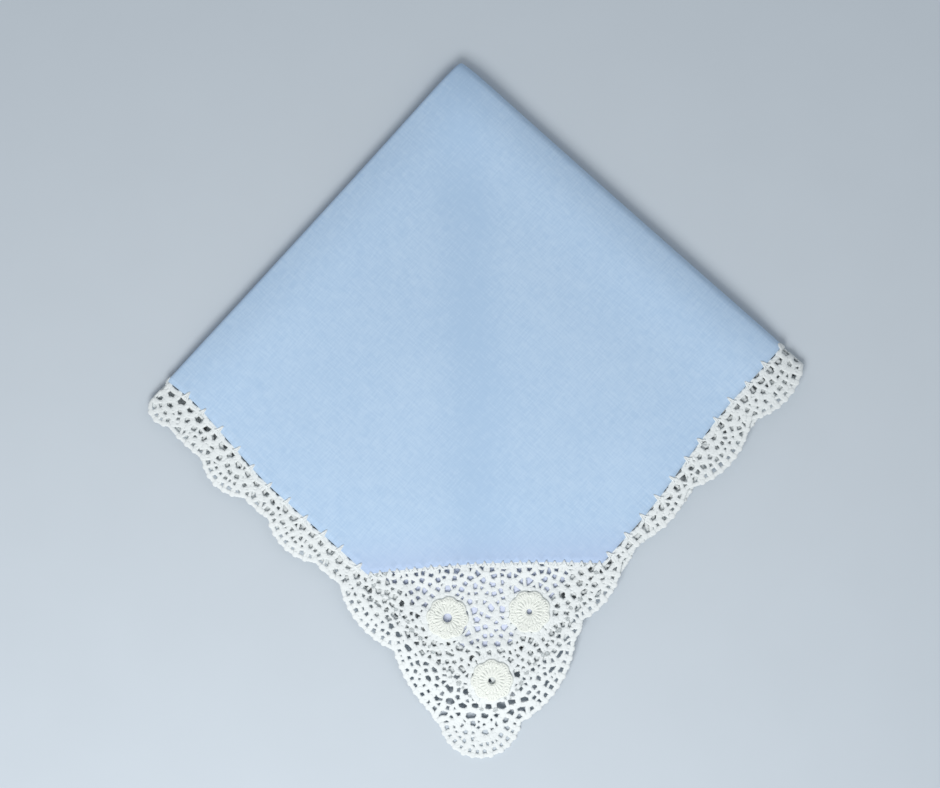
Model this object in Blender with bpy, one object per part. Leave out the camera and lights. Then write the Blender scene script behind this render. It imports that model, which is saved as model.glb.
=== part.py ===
"""A lace-edged handkerchief, folded in quarters and lying flat with its lace corner toward -Y.

The square cloth, its scalloped edging, the corner piece and the three rosettes are drawn flat, in the
sheet's own coordinates a and b (mm, from the middle of the open square). One function then folds every
point: first over the crease at a = CREASE_A, then over the crease at b = CREASE_B, which leaves four
layers. In the folded plan, u and v are the distances from the two folded edges, and the folded tip,
where they meet, points toward +Y.
"""

import math
import random

import bmesh
import bpy
import numpy as np
from mathutils.geometry import delaunay_2d_cdt

MM = 0.001

# The open sheet
CLOTH_HALF = 137.0  # half the side of the square cloth
CORNER_RADIUS = 15.0  # of the cloth's three rounded corners
CREASE_A = 0.3  # the creases lie a little off the middle
CREASE_B = -1.2
CUT_BOW = 1.7  # the edge of the cut corner bows toward the middle of the cloth
SEAM_GAP = 0.3  # between pieces that are sewn together

# The top quarter's free edges, each from its crease to the cut corner: how long it is, how far it dips
# in near the crease, and how far it bows out over which stretch
FREE_EDGES = (
    ("side", "length", "dip", "bow", "bow_from", "bow_to"),
    ("a", 88.6, 0.0, 4.0, 20.0, 74.0),
    ("b", 87.6, 0.9, 2.8, 15.0, 48.0),
)
EDGE_STEPS = 12
EDGE_DIP_AT, EDGE_DIP_WIDTH = 10.0, 8.0

# The folded stack
THICKNESS = 1.0
PITCH = 1.4  # from one layer's middle to the next
FIRST_RADIUS = PITCH / 2  # of the first crease, in which two layers meet
SECOND_RADIUS = PITCH  # of the second crease, at the middle of the two plies that go round it
STACK_HEIGHT = 3 * PITCH + THICKNESS
TURN_STEPS = 6  # segments round each crease
GRID_CELLS = 9  # across a quarter of the cloth
PAST_THE_RIM = 180.0  # the lines of the grid run from this far on one side to this far on the other
MERGE = 1e-4  # points of an outline this close become one
INSERT_GRID = 14.0  # size of the corner piece's cells
INSERT_GRID_FROM = 84.0
TIP_PLACE = (0.6, 111.9)  # X and Y of the corner where the folded edges would meet
TIP_ROUNDING = 0.6  # how far that corner is drawn in
TIP_REACH = 4.0
SLIP_U, SLIP_V = -3.4, 0.8  # how far the lowest layer's free edges lie from the top one's
SLIP_REACH = 30.0  # the slip grows over this distance from a folded edge
FLARE, FLARE_WIDTH = 1.1, 30.0  # the folded edges spread a little toward the lace

# How far the stack puffs up over its height
FIRST_EDGE_PUFF, SECOND_EDGE_PUFF = 1.0, 1.6
EDGE_PUFF_AT, EDGE_PUFF_WIDTH = 9.0, 13.0
CROWN_HEIGHT, CROWN_WIDTH = 1.3, 46.0
CROWN_PLACE = (92.0, 62.0)  # u and v
TROUGH_DEPTH, TROUGH_WIDTH = 0.9, 11.0  # runs from the tip down the middle
FLAT_FROM, FLAT_TO = 118.0, 150.0  # the puff dies away toward the lace

# Past the layers below it, the top layer's lace tip sags on to the surface. The sag starts and ends
# this far from the centre of the cloth's corner rounding.
SAG_FROM, SAG_TO = 26.0, 44.0
SAG_RINGS = (29.0, 32.5, 36.0, 40.0)  # the pieces break along arcs of these radii to bend there
SAG_ARC = (-30, 120)  # degrees

# The edging
SCALLOP_PITCH = 30.3
PLACE_UNEVENNESS, BULGE_UNEVENNESS = 1.5, 0.4
NOTCH_REACH = 9.0  # from the cloth's edge to the rim, between two scallops
SCALLOP_BULGE = 2.3
ARC_STEP = 3.6  # greatest length of a straight bit of a curved outline
SCALLOPS_PER_SIDE = 4  # in half a side of a plain quarter
CORNER_NOTCHES = (22.5, 67.5)  # degrees round a plain corner
CORNER_BULGE = 4.2
CREASE_BULGE = 1.5  # after the notch where a crease crosses the rim

# Rim of the quarter that lies on top, from one fold round its lace tip to the other. Each row is a
# notch, as u and v, and how far the rim bulges out before the next one.
TOP_RIM = (
    ("u", "v", "bulge"),
    (145.6, 0.0, 3.9),
    (145.4, 24.0, 4.6),
    (145.2, 53.0, 2.4),
    (145.6, 74.0, 0.0),
    (145.0, 84.0, 3.0),
    (148.1, 106.3, 0.9),
    (150.4, 112.1, 4.0),
    (155.8, 143.7, 11.0),
    (137.0, 161.5, 0.6),
    (132.2, 160.6, 1.5),
    (110.1, 153.5, 3.4),
    (83.0, 149.2, 0.3),
    (73.0, 149.4, 3.4),
    (52.5, 149.0, 0.3),
    (42.5, 149.2, 3.4),
    (24.4, 149.0, 0.4),
    (9.8, 148.6, 2.6),
    (0.0, 146.4, 1.5),
)

# Rosettes of the corner piece: u and v of each centre, and its turn in degrees
ROSETTES = (
    ("name", "u", "v", "turn"),
    ("rosette_1", 115.8, 134.3, 10.0),
    ("rosette_2", 133.8, 115.5, 25.0),
    ("rosette_3", 139.6, 139.6, 0.0),
)
ROSETTE_RADIUS = 6.9
ROSETTE_PETALS = 8
PETAL_DEPTH = 0.45
ROSETTE_EYE = 1.65  # radius of the hole in the middle
ROSETTE_SIDES = 24
ROSETTE_STEP = 1.9  # greatest length of a straight bit of the round hole it sits in
# Rounds of a rosette: its radius, and the height of its face over the layer's middle
ROSETTE_ROUNDS = (
    ("radius", "face"),
    (ROSETTE_EYE, 0.55),
    (2.9, 1.0),
    (4.0, 0.6),
    (5.6, 1.05),
    (ROSETTE_RADIUS, 0.4),
)
INSERT_END_RADIUS = 8.6  # the corner piece ends in an arc round its third rosette

# Gaps of the edging: rows that follow its inner edge all the way round
EDGING_GAPS = (
    ("pitch", "distance", "length", "width"),
    (7.7, 2.7, 4.0, 2.0),
    (9.6, 6.2, 3.2, 2.2),
)
# Gaps of the corner piece, as rows that follow its cut edge
INSERT_GAPS = (
    ("count", "distance", "first", "last", "length", "width"),
    (14, 2.8, 5.5, 69.0, 3.0, 2.1),
    (3, 6.6, 8.0, 16.8, 2.9, 2.4),
    (3, 6.6, 32.3, 41.1, 3.4, 3.0),
    (3, 6.6, 57.2, 66.6, 2.9, 2.4),
    (1, 12.6, 12.6, 12.6, 2.6, 2.6),
    (2, 12.6, 34.4, 39.0, 2.6, 2.6),
    (1, 12.6, 61.3, 61.3, 2.6, 2.6),
    (2, 19.0, 34.4, 39.0, 2.6, 2.4),
    (4, 25.2, 27.4, 45.4, 2.8, 2.4),
)
# Gaps of the fan at the tip, an arc round the third rosette, in degrees from the way it points
TIP_GAPS = (
    ("count", "radius", "start", "end", "length", "width"),
    (4, 20.0, -27.0, 27.0, 2.0, 1.9),
)
GAP_CLEARANCE = 0.9  # thread left between a gap and an edge
CREASE_CLEARANCE = 3.4  # and between a gap and a crease

CLOTH_BLUE = (0.40, 0.54, 0.74)
THREAD_WHITE = (0.84, 0.86, 0.84)
THREAD_CREAM = (0.86, 0.85, 0.80)
CLOTH_ROUGHNESS, THREAD_ROUGHNESS = 0.85, 0.75
SMOOTH_UNDER = 40  # degrees between faces that are shaded as one

SEED = 11


def rows(table):
    """The rows of a table as dictionaries, by the column names in its first row."""
    names = table[0]
    return [dict(zip(names, row)) for row in table[1:]]


def eased(share):
    """Rises smoothly from 0 to 1 as share does, and stays there on either side."""
    share = np.clip(share, 0, 1)
    return share * share * (3 - 2 * share)


def puff(u, v):
    """How much higher than flat the stack is, at a place in the folded plan."""
    first = FIRST_EDGE_PUFF * np.exp(-(((u - EDGE_PUFF_AT) / EDGE_PUFF_WIDTH) ** 2))
    second = SECOND_EDGE_PUFF * np.exp(-(((v - EDGE_PUFF_AT) / EDGE_PUFF_WIDTH) ** 2))
    from_crown = np.hypot(u - CROWN_PLACE[0], v - CROWN_PLACE[1]) / CROWN_WIDTH
    crown = CROWN_HEIGHT * np.exp(-(from_crown**2))
    from_trough = (u - v) / math.sqrt(2) / TROUGH_WIDTH
    trough = TROUGH_DEPTH * np.exp(-(from_trough**2))
    fade = eased((FLAT_TO - np.maximum(u, v)) / (FLAT_TO - FLAT_FROM))
    return (first + second + crown + TROUGH_DEPTH - trough) * fade


def sag(u, v, middle):
    """How far a layer, given the height of its middle, sinks past the layers below it."""
    corner = CLOTH_HALF - CORNER_RADIUS
    past = np.hypot(np.maximum(u - corner, 0), np.maximum(v - corner, 0))
    return (middle - THICKNESS / 2) * eased((past - SAG_FROM) / (SAG_TO - SAG_FROM))


def settled(u, v, below):
    """The plan place of a folded point, as a folder's hands leave it. below is the share of the
    stack's height that lies over the point."""
    spread_u = FLARE * (v / CLOTH_HALF) ** 2 * np.exp(-np.maximum(u, 0) / FLARE_WIDTH)
    spread_v = FLARE * (u / CLOTH_HALF) ** 2 * np.exp(-np.maximum(v, 0) / FLARE_WIDTH)
    drawn_in = TIP_ROUNDING * np.exp(-(np.maximum(u, 0) + np.maximum(v, 0)) / TIP_REACH)
    slip_u = SLIP_U * below * u / CLOTH_HALF * eased(v / SLIP_REACH)
    slip_v = SLIP_V * below * v / CLOTH_HALF * eased(u / SLIP_REACH)
    return u + slip_u + drawn_in - spread_u, v + slip_v + drawn_in - spread_v


def folded(a, b, offset):
    """Places of sheet points once it is folded. offset is the height over the sheet's middle, which
    counts toward the face that ends up outside."""
    first = a - CREASE_A
    theta = np.clip(first / FIRST_RADIUS, -math.pi / 2, math.pi / 2)
    beyond_first = np.maximum(abs(first) - FIRST_RADIUS * math.pi / 2, 0)
    u = THICKNESS / 2 + FIRST_RADIUS - (FIRST_RADIUS + offset) * np.cos(theta) + beyond_first
    ply = SECOND_RADIUS + FIRST_RADIUS * np.sin(theta)
    ply_face = ply + offset * np.sin(theta)

    second = b - CREASE_B
    phi = np.clip(second / SECOND_RADIUS, -math.pi / 2, math.pi / 2)
    beyond_second = np.maximum(abs(second) - SECOND_RADIUS * math.pi / 2, 0)
    v = THICKNESS / 2 + SECOND_RADIUS + FIRST_RADIUS - ply_face * np.cos(phi) + beyond_second
    middle = STACK_HEIGHT / 2 + ply * np.sin(phi)
    z = STACK_HEIGHT / 2 + ply_face * np.sin(phi)

    z = z * (1 + puff(u, v) / STACK_HEIGHT) - sag(u, v, middle)
    u, v = settled(u, v, 1 - middle / STACK_HEIGHT)
    x = TIP_PLACE[0] + (u - v) / math.sqrt(2)
    y = TIP_PLACE[1] - (u + v) / math.sqrt(2)
    return np.stack([x, y, z], axis=-1)


def arc(centre, radius, start, end, step=ARC_STEP):
    """Points of an arc, from start to end in degrees."""
    steps = max(2, math.ceil(math.radians(abs(end - start)) * radius / step))
    angles = np.radians(np.linspace(start, end, steps + 1))
    return [(centre[0] + radius * math.cos(t), centre[1] + radius * math.sin(t)) for t in angles]


def bulged(start, end, bulge):
    """Points from start up to, but without, end, on an arc that bulges to the right of the way."""
    if not bulge:
        return [start]
    along = np.array(end) - np.array(start)
    half = np.hypot(*along) / 2
    right = np.array((along[1], -along[0])) / (2 * half)
    radius = (half * half + bulge * bulge) / (2 * bulge)
    centre = (np.array(start) + np.array(end)) / 2 + right * (bulge - radius)
    first = math.atan2(start[1] - centre[1], start[0] - centre[0])
    sweep = 4 * math.atan2(bulge, half)
    return arc(centre, radius, math.degrees(first), math.degrees(first + sweep))[:-1]


def free_edge(row, out):
    """One free edge of the top quarter, moved out by that much, from its crease to the cut corner."""
    along = np.linspace(0, row["length"], EDGE_STEPS + 1)
    dip = row["dip"] * np.exp(-(((along - EDGE_DIP_AT) / EDGE_DIP_WIDTH) ** 2))
    bow = row["bow"] * eased((along - row["bow_from"]) / (row["bow_to"] - row["bow_from"]))
    away = CLOTH_HALF + out - dip + bow
    if row["side"] == "a":
        return list(zip(away, CREASE_B + along))
    return list(zip(CREASE_A + along, away))


def cut_edge(inset):
    """The edge of the cut corner, from the b side to the a side, moved inset toward the corner."""
    side_a, side_b = rows(FREE_EDGES)
    start, end = free_edge(side_b, 0)[-1], free_edge(side_a, 0)[-1]
    step = inset / math.sqrt(2)
    return [(a + step, b + step) for a, b in bulged(start, end, CUT_BOW) + [end]]


def rounded_corner(sign_a, sign_b, out):
    """A rounded cloth corner moved out by that much, in order round the sheet, anticlockwise."""
    start = math.degrees(math.atan2(sign_b, sign_a)) - 45
    middle = CLOTH_HALF - CORNER_RADIUS
    return arc((sign_a * middle, sign_b * middle), CORNER_RADIUS + out, start, start + 90)


def uncut_sides(out):
    """The sides of the cloth and its three rounded corners, moved out, from the cut corner anticlockwise
    back to it."""
    side_a, side_b = rows(FREE_EDGES)
    points = list(reversed(free_edge(side_b, out)))
    for sign_a, sign_b in ((-1, 1), (-1, -1), (1, -1)):
        points += rounded_corner(sign_a, sign_b, out)
    return points + free_edge(side_a, out)


def cloth_outline():
    """Outline of the cloth, anticlockwise, from the edge of the cut corner on."""
    return list(reversed(cut_edge(0)))[:-1] + uncut_sides(0)[:-1]


def rosette_place(row):
    """A rosette's centre on the sheet. The top quarter's u and v count from the creases."""
    return (row["u"] + CREASE_A, row["v"] + CREASE_B)


def tangent_angle(outside, centre, radius, side):
    """Direction from a circle's centre to where a line from outside touches it, in degrees. side is
    +1 or -1 for the tangent that lies anticlockwise or clockwise."""
    away = np.array(outside) - np.array(centre)
    angle = math.atan2(away[1], away[0]) + side * math.acos(radius / np.hypot(*away))
    return math.degrees(angle)


def insert_end(out):
    """The corner piece's two sides and its rounded end, anticlockwise from the a side."""
    centre = rosette_place(rows(ROSETTES)[2])
    radius = INSERT_END_RADIUS + out
    end_b, end_a = cut_edge(SEAM_GAP)[0], cut_edge(SEAM_GAP)[-1]
    from_a = (end_a[0] + out, end_a[1])
    to_b = (end_b[0], end_b[1] + out)
    start = tangent_angle(from_a, centre, radius, 1)
    end = tangent_angle(to_b, centre, radius, -1) % 360
    return [from_a] + arc(centre, radius, start, end) + [to_b]


def insert_outline():
    """Outline of the corner piece, anticlockwise."""
    return insert_end(0) + cut_edge(SEAM_GAP)[1:-1]


def edging_inner():
    """The edging's inner edge: round the corner piece, then along the cloth."""
    return insert_end(SEAM_GAP) + uncut_sides(SEAM_GAP)[1:-1]


def plain_quarter_notches(sign_a, sign_b, jitter):
    """Rim notches and bulges of a quarter with a plain corner, anticlockwise round the sheet."""
    reach = CLOTH_HALF + NOTCH_REACH
    corner = CLOTH_HALF - CORNER_RADIUS
    side = []
    for k in range(SCALLOPS_PER_SIDE):
        along = SCALLOP_PITCH * (k + 0.5) + jitter.uniform(-PLACE_UNEVENNESS, PLACE_UNEVENNESS)
        bulge = SCALLOP_BULGE + jitter.uniform(-BULGE_UNEVENNESS, BULGE_UNEVENNESS)
        side.append((reach, along, bulge))
    turned = []
    for angle in np.radians(CORNER_NOTCHES):
        away = CORNER_RADIUS + NOTCH_REACH
        place = (corner + away * math.cos(angle), corner + away * math.sin(angle))
        turned.append((*place, CORNER_BULGE))
    other = [(along, reach, bulge) for _, along, bulge in reversed(side)]
    quarter = side + turned + other
    if sign_a * sign_b < 0:
        quarter = list(reversed(quarter))
    return [(sign_a * a, sign_b * b, bulge) for a, b, bulge in quarter]


def rim_notches():
    """Every notch of the rim with the bulge after it, anticlockwise from the top quarter's first."""
    jitter = random.Random(SEED)
    reach = CLOTH_HALF + NOTCH_REACH
    at_crease = {(-1, 1): (-reach, CREASE_B), (-1, -1): (CREASE_A, -reach)}
    found = [(row["u"] + CREASE_A, row["v"] + CREASE_B, row["bulge"]) for row in rows(TOP_RIM)]
    for signs in ((-1, 1), (-1, -1), (1, -1)):
        found += plain_quarter_notches(*signs, jitter)
        if signs in at_crease:
            found.append((*at_crease[signs], CREASE_BULGE))
    return found


def edging_outer():
    """The scalloped rim, anticlockwise."""
    notches = rim_notches()
    points = []
    for here, there in zip(notches, notches[1:] + notches[:1]):
        points += bulged(here[:2], there[:2], here[2])
    return points


def diamond(centre, along, length, width):
    """A four-sided gap with its long diagonal along a direction."""
    along = np.array(along) / np.hypot(*along)
    across = np.array((-along[1], along[0]))
    centre = np.array(centre)
    ends = (along * length / 2, across * width / 2, -along * length / 2, -across * width / 2)
    return [tuple(centre + end) for end in ends]


def edging_gaps():
    """Diamonds of the edging, in rows that follow its inner edge."""
    ends = np.array(edging_inner())
    starts = np.roll(ends, 1, axis=0)
    lengths = np.hypot(*(ends - starts).T)
    reached = np.concatenate([[0], np.cumsum(lengths)])
    gaps = []
    for row in rows(EDGING_GAPS):
        for place in np.arange(row["pitch"] / 2, reached[-1], row["pitch"]):
            k = np.searchsorted(reached, place) - 1
            along = (ends[k] - starts[k]) / lengths[k]
            out = np.array((along[1], -along[0]))
            centre = starts[k] + along * (place - reached[k]) + out * row["distance"]
            gaps.append(diamond(centre, along, row["length"], row["width"]))
    return gaps


def tip_gaps():
    """Diamonds of the fan at the tip, on an arc round the third rosette."""
    gaps = []
    centre = rosette_place(rows(ROSETTES)[2])
    pointing = 45  # degrees, along the sheet's diagonal
    for row in rows(TIP_GAPS):
        for angle in np.linspace(row["start"], row["end"], row["count"]):
            turn = math.radians(pointing + angle)
            out = (math.cos(turn), math.sin(turn))
            place = (centre[0] + row["radius"] * out[0], centre[1] + row["radius"] * out[1])
            gaps.append(diamond(place, (-out[1], out[0]), row["length"], row["width"]))
    return gaps


def insert_gaps():
    """Diamonds of the corner piece, in rows that follow the cut edge."""
    start, end = np.array(cut_edge(SEAM_GAP)[-1]), np.array(cut_edge(SEAM_GAP)[0])
    along = (end - start) / np.hypot(*(end - start))
    out = np.array((along[1], -along[0]))
    gaps = []
    for row in rows(INSERT_GAPS):
        for place in np.linspace(row["first"], row["last"], row["count"]):
            centre = start + along * place + out * row["distance"]
            gaps.append(diamond(centre, along, row["length"], row["width"]))
    return gaps


def inside(points, rings):
    """Which points lie inside an odd number of the rings."""
    points = np.asarray(points, float)
    odd = np.zeros(len(points), bool)
    for ring in rings:
        ends = np.asarray(ring, float)
        starts = np.roll(ends, 1, axis=0)
        for (x0, y0), (x1, y1) in zip(starts, ends):
            if y0 == y1:
                continue
            crosses = (y0 > points[:, 1]) != (y1 > points[:, 1])
            at = x0 + (points[:, 1] - y0) * (x1 - x0) / (y1 - y0)
            odd ^= crosses & (points[:, 0] < at)
    return odd


def distance_to(points, rings):
    """Each point's distance to the nearest of the rings' edges."""
    points = np.asarray(points, float)
    nearest = np.full(len(points), np.inf)
    for ring in rings:
        ends = np.asarray(ring, float)
        starts = np.roll(ends, 1, axis=0)
        for start, end in zip(starts, ends):
            along = end - start
            t = np.clip((points - start) @ along / (along @ along), 0, 1)
            gap = points - start - t[:, None] * along
            nearest = np.minimum(nearest, np.hypot(gap[:, 0], gap[:, 1]))
    return nearest


def gaps_that_fit(gaps, rings):
    """The gaps that leave thread around them and stay off the creases."""
    kept = []
    for gap in gaps:
        corners = np.array(gap)
        off_first = abs(corners[:, 0] - CREASE_A).min() > CREASE_CLEARANCE
        off_second = abs(corners[:, 1] - CREASE_B).min() > CREASE_CLEARANCE
        apart = all(distance_to(corners, [other]).min() > GAP_CLEARANCE for other in kept)
        clear = inside(corners, rings).all() and distance_to(corners, rings).min() > GAP_CLEARANCE
        if off_first and off_second and apart and clear:
            kept.append(gap)
    return kept


def grid_lines(a_places, b_places):
    """Straight lines across the whole sheet, at these places along a and along b."""
    reach = PAST_THE_RIM
    lines = [[(a, -reach), (a, reach)] for a in a_places]
    return lines + [[(-reach, b), (reach, b)] for b in b_places]


def crease_lines():
    """Lines at which the sheet bends round its two creases."""
    turns = np.linspace(-math.pi / 2, math.pi / 2, TURN_STEPS + 1)
    return grid_lines(CREASE_A + turns * FIRST_RADIUS, CREASE_B + turns * SECOND_RADIUS)


def even_lines():
    """Lines at which the sheet follows the stack's puff and slip."""
    even = [k * CLOTH_HALF / GRID_CELLS for k in range(1 - GRID_CELLS, GRID_CELLS) if k]
    return grid_lines(even, even)


def sag_lines():
    """Rings at which the lace tip bends as it sags."""
    corner = (CLOTH_HALF - CORNER_RADIUS + CREASE_A, CLOTH_HALF - CORNER_RADIUS + CREASE_B)
    return [arc(corner, radius, *SAG_ARC, 2 * ARC_STEP) for radius in SAG_RINGS]


def flat_mesh(rings, lines):
    """Triangles of the sheet between the rings, which also break along the lines."""
    places, edges = [], []
    for ring in rings:
        first, count = len(places), len(ring)
        places += ring
        edges += [(first + k, first + (k + 1) % count) for k in range(count)]
    for line in lines:
        first = len(places)
        places += line
        edges += [(first + k, first + k + 1) for k in range(len(line) - 1)]
    points, _, faces, _, _, _ = delaunay_2d_cdt(places, edges, [], 0, MERGE)
    points = np.array([tuple(point) for point in points])
    faces = np.array(faces)
    faces = faces[inside(points[faces].mean(axis=1), rings)]
    used, faces = np.unique(faces, return_inverse=True)
    return points[used], faces.reshape(-1, 3)


def material(name, colour, roughness):
    """A plain coloured finish."""
    made = bpy.data.materials.new(name)
    made.use_nodes = True
    shader = made.node_tree.nodes["Principled BSDF"]
    shader.inputs["Base Color"].default_value = (*colour, 1)
    shader.inputs["Roughness"].default_value = roughness
    shader.inputs["Metallic"].default_value = 0
    made.diffuse_color = (*colour, 1)
    return made


def solid(name, lower, upper, faces, finish):
    """A closed body between two copies of one triangle mesh, as an object."""
    mesh = bmesh.new()
    under = [mesh.verts.new(point * MM) for point in lower]
    over = [mesh.verts.new(point * MM) for point in upper]
    for i, j, k in faces:
        mesh.faces.new((over[i], over[j], over[k]))
        mesh.faces.new((under[k], under[j], under[i]))
    ends = np.concatenate([faces[:, [0, 1]], faces[:, [1, 2]], faces[:, [2, 0]]])
    directed = {(i, j) for i, j in ends.tolist()}
    for i, j in sorted(directed):
        if (j, i) not in directed:
            mesh.faces.new((under[i], under[j], over[j], over[i]))
    bmesh.ops.recalc_face_normals(mesh, faces=mesh.faces[:])
    data = bpy.data.meshes.new(name)
    mesh.to_mesh(data)
    mesh.free()
    data.shade_smooth()
    data.set_sharp_from_angle(angle=math.radians(SMOOTH_UNDER))
    data.materials.append(finish)
    made = bpy.data.objects.new(name, data)
    bpy.context.scene.collection.objects.link(made)
    return made


def folded_sheet(name, rings, lines, finish):
    """A piece of even thickness, cut to its rings and folded with the sheet."""
    points, faces = flat_mesh(rings, lines)
    lower = folded(points[:, 0], points[:, 1], -THICKNESS / 2)
    upper = folded(points[:, 0], points[:, 1], THICKNESS / 2)
    return solid(name, lower, upper, faces, finish)


def build_cloth(finish):
    """The square cloth with three rounded corners and one cut off."""
    return folded_sheet("cloth", [cloth_outline()], crease_lines() + even_lines(), finish)


def build_edging(finish):
    """The scalloped edging, a closed ring round the cloth and the corner piece."""
    rings = [edging_outer(), edging_inner()]
    gaps = gaps_that_fit(edging_gaps() + tip_gaps(), rings)
    lines = crease_lines() + even_lines() + sag_lines()
    return folded_sheet("lace_edging", rings + gaps, lines, finish)


def build_insert(finish):
    """The corner piece, open round its rosettes."""
    rings = [insert_outline()]
    for row in rows(ROSETTES):
        hole = arc(rosette_place(row), ROSETTE_RADIUS + SEAM_GAP, 0, 360, ROSETTE_STEP)
        rings.append(hole[:-1])
    gaps = gaps_that_fit(insert_gaps(), rings)
    even = np.arange(INSERT_GRID_FROM, CLOTH_HALF, INSERT_GRID)
    lines = sag_lines() + grid_lines(even, even)
    return folded_sheet("lace_corner", rings + gaps, lines, finish)


def build_rosette(row, finish):
    """A raised round with petals and an open eye, level with the top layer."""
    centre = rosette_place(row)
    rounds = rows(ROSETTE_ROUNDS)
    angles = np.arange(ROSETTE_SIDES) * 2 * math.pi / ROSETTE_SIDES
    turned = angles + math.radians(row["turn"])
    between_petals = 0.5 - 0.5 * np.cos(ROSETTE_PETALS * angles)
    rings = []
    for ring in rounds:
        # The notches between petals die away quickly from the rim inward.
        share = (ring["radius"] / ROSETTE_RADIUS) ** 4
        radius = ring["radius"] - PETAL_DEPTH * share * between_petals
        rings.append(np.stack([radius * np.cos(turned), radius * np.sin(turned)], axis=1))
    flat = np.concatenate(rings) + centre
    height = np.repeat([ring["face"] for ring in rounds], ROSETTE_SIDES)
    faces = []
    for ring in range(len(rounds) - 1):
        for k in range(ROSETTE_SIDES):
            inner, outer = ring * ROSETTE_SIDES + k, (ring + 1) * ROSETTE_SIDES + k
            inner_next = ring * ROSETTE_SIDES + (k + 1) % ROSETTE_SIDES
            outer_next = (ring + 1) * ROSETTE_SIDES + (k + 1) % ROSETTE_SIDES
            faces += [(inner, outer, outer_next), (inner, outer_next, inner_next)]
    lower = folded(flat[:, 0], flat[:, 1], -THICKNESS / 2)
    upper = folded(flat[:, 0], flat[:, 1], height)
    return solid(row["name"], lower, upper, np.array(faces), finish)


def build():
    """Clears the scene and makes every piece."""
    for old in list(bpy.data.objects):
        bpy.data.objects.remove(old, do_unlink=True)
    build_cloth(material("cloth_blue", CLOTH_BLUE, CLOTH_ROUGHNESS))
    white = material("thread_white", THREAD_WHITE, THREAD_ROUGHNESS)
    cream = material("thread_cream", THREAD_CREAM, THREAD_ROUGHNESS)
    build_edging(white)
    build_insert(white)
    for row in rows(ROSETTES):
        build_rosette(row, cream)


build()
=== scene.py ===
"""Looks of a blue cotton handkerchief with a crochet edging, folded in quarters.

The cloth, the crochet and the rosettes are drawn flat, in the open sheet's coordinates a and b (mm, from
the middle of the square) with a height over the sheet's middle, and then folded as one. In the folded
plan, u and v are the distances from the two folded edges, and across and down run from the folded tip:
across to the right and down to the lace tip.
"""

import logging
import math
import random
from collections.abc import Iterable, Sequence
from dataclasses import dataclass, field
from enum import Enum

import bmesh
import bpy
import numpy as np
from mathutils.geometry import delaunay_2d_cdt
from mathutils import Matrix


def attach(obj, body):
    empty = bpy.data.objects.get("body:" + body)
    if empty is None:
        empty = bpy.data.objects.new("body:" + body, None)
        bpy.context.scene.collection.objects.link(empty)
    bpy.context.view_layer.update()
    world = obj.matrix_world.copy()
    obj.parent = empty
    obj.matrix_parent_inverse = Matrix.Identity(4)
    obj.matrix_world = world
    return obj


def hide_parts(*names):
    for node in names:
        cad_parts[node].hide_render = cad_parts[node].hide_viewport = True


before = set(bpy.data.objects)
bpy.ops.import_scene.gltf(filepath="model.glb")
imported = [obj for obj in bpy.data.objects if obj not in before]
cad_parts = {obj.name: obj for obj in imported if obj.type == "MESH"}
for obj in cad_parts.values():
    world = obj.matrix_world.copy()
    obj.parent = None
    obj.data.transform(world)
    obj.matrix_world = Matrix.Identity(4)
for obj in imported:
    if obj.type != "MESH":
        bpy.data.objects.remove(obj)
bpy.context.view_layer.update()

MM = 0.001
FLOOR_GAP = 0.02  # mm between the floor and what rests on it
TINY = 1e-12  # stands in for a length of nothing where one divides by it
ROOT_TWO = math.sqrt(2)
SEED = 11

log = logging.getLogger("handkerchief")

Point = tuple[float, float]
Triple = tuple[float, float, float]
Ring = list[Point]
Array = np.ndarray
Piece = bpy.types.Object
Node = bpy.types.Node


def rows(table: Sequence[Sequence]) -> list[dict]:
    """The rows of a table as dictionaries, by the column names in its first row."""
    return [dict(zip(table[0], row)) for row in table[1:]]


def eased(share: Array | float) -> Array:
    """Rises smoothly from 0 to 1 as share does, and stays there on either side."""
    share = np.clip(share, 0, 1)
    return share * share * (3 - 2 * share)


def bell(distance: Array | float, width: float) -> Array:
    """A smooth hump, 1 in the middle, that fades over about a width on each side."""
    return np.exp(-((distance / width) ** 2))


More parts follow.
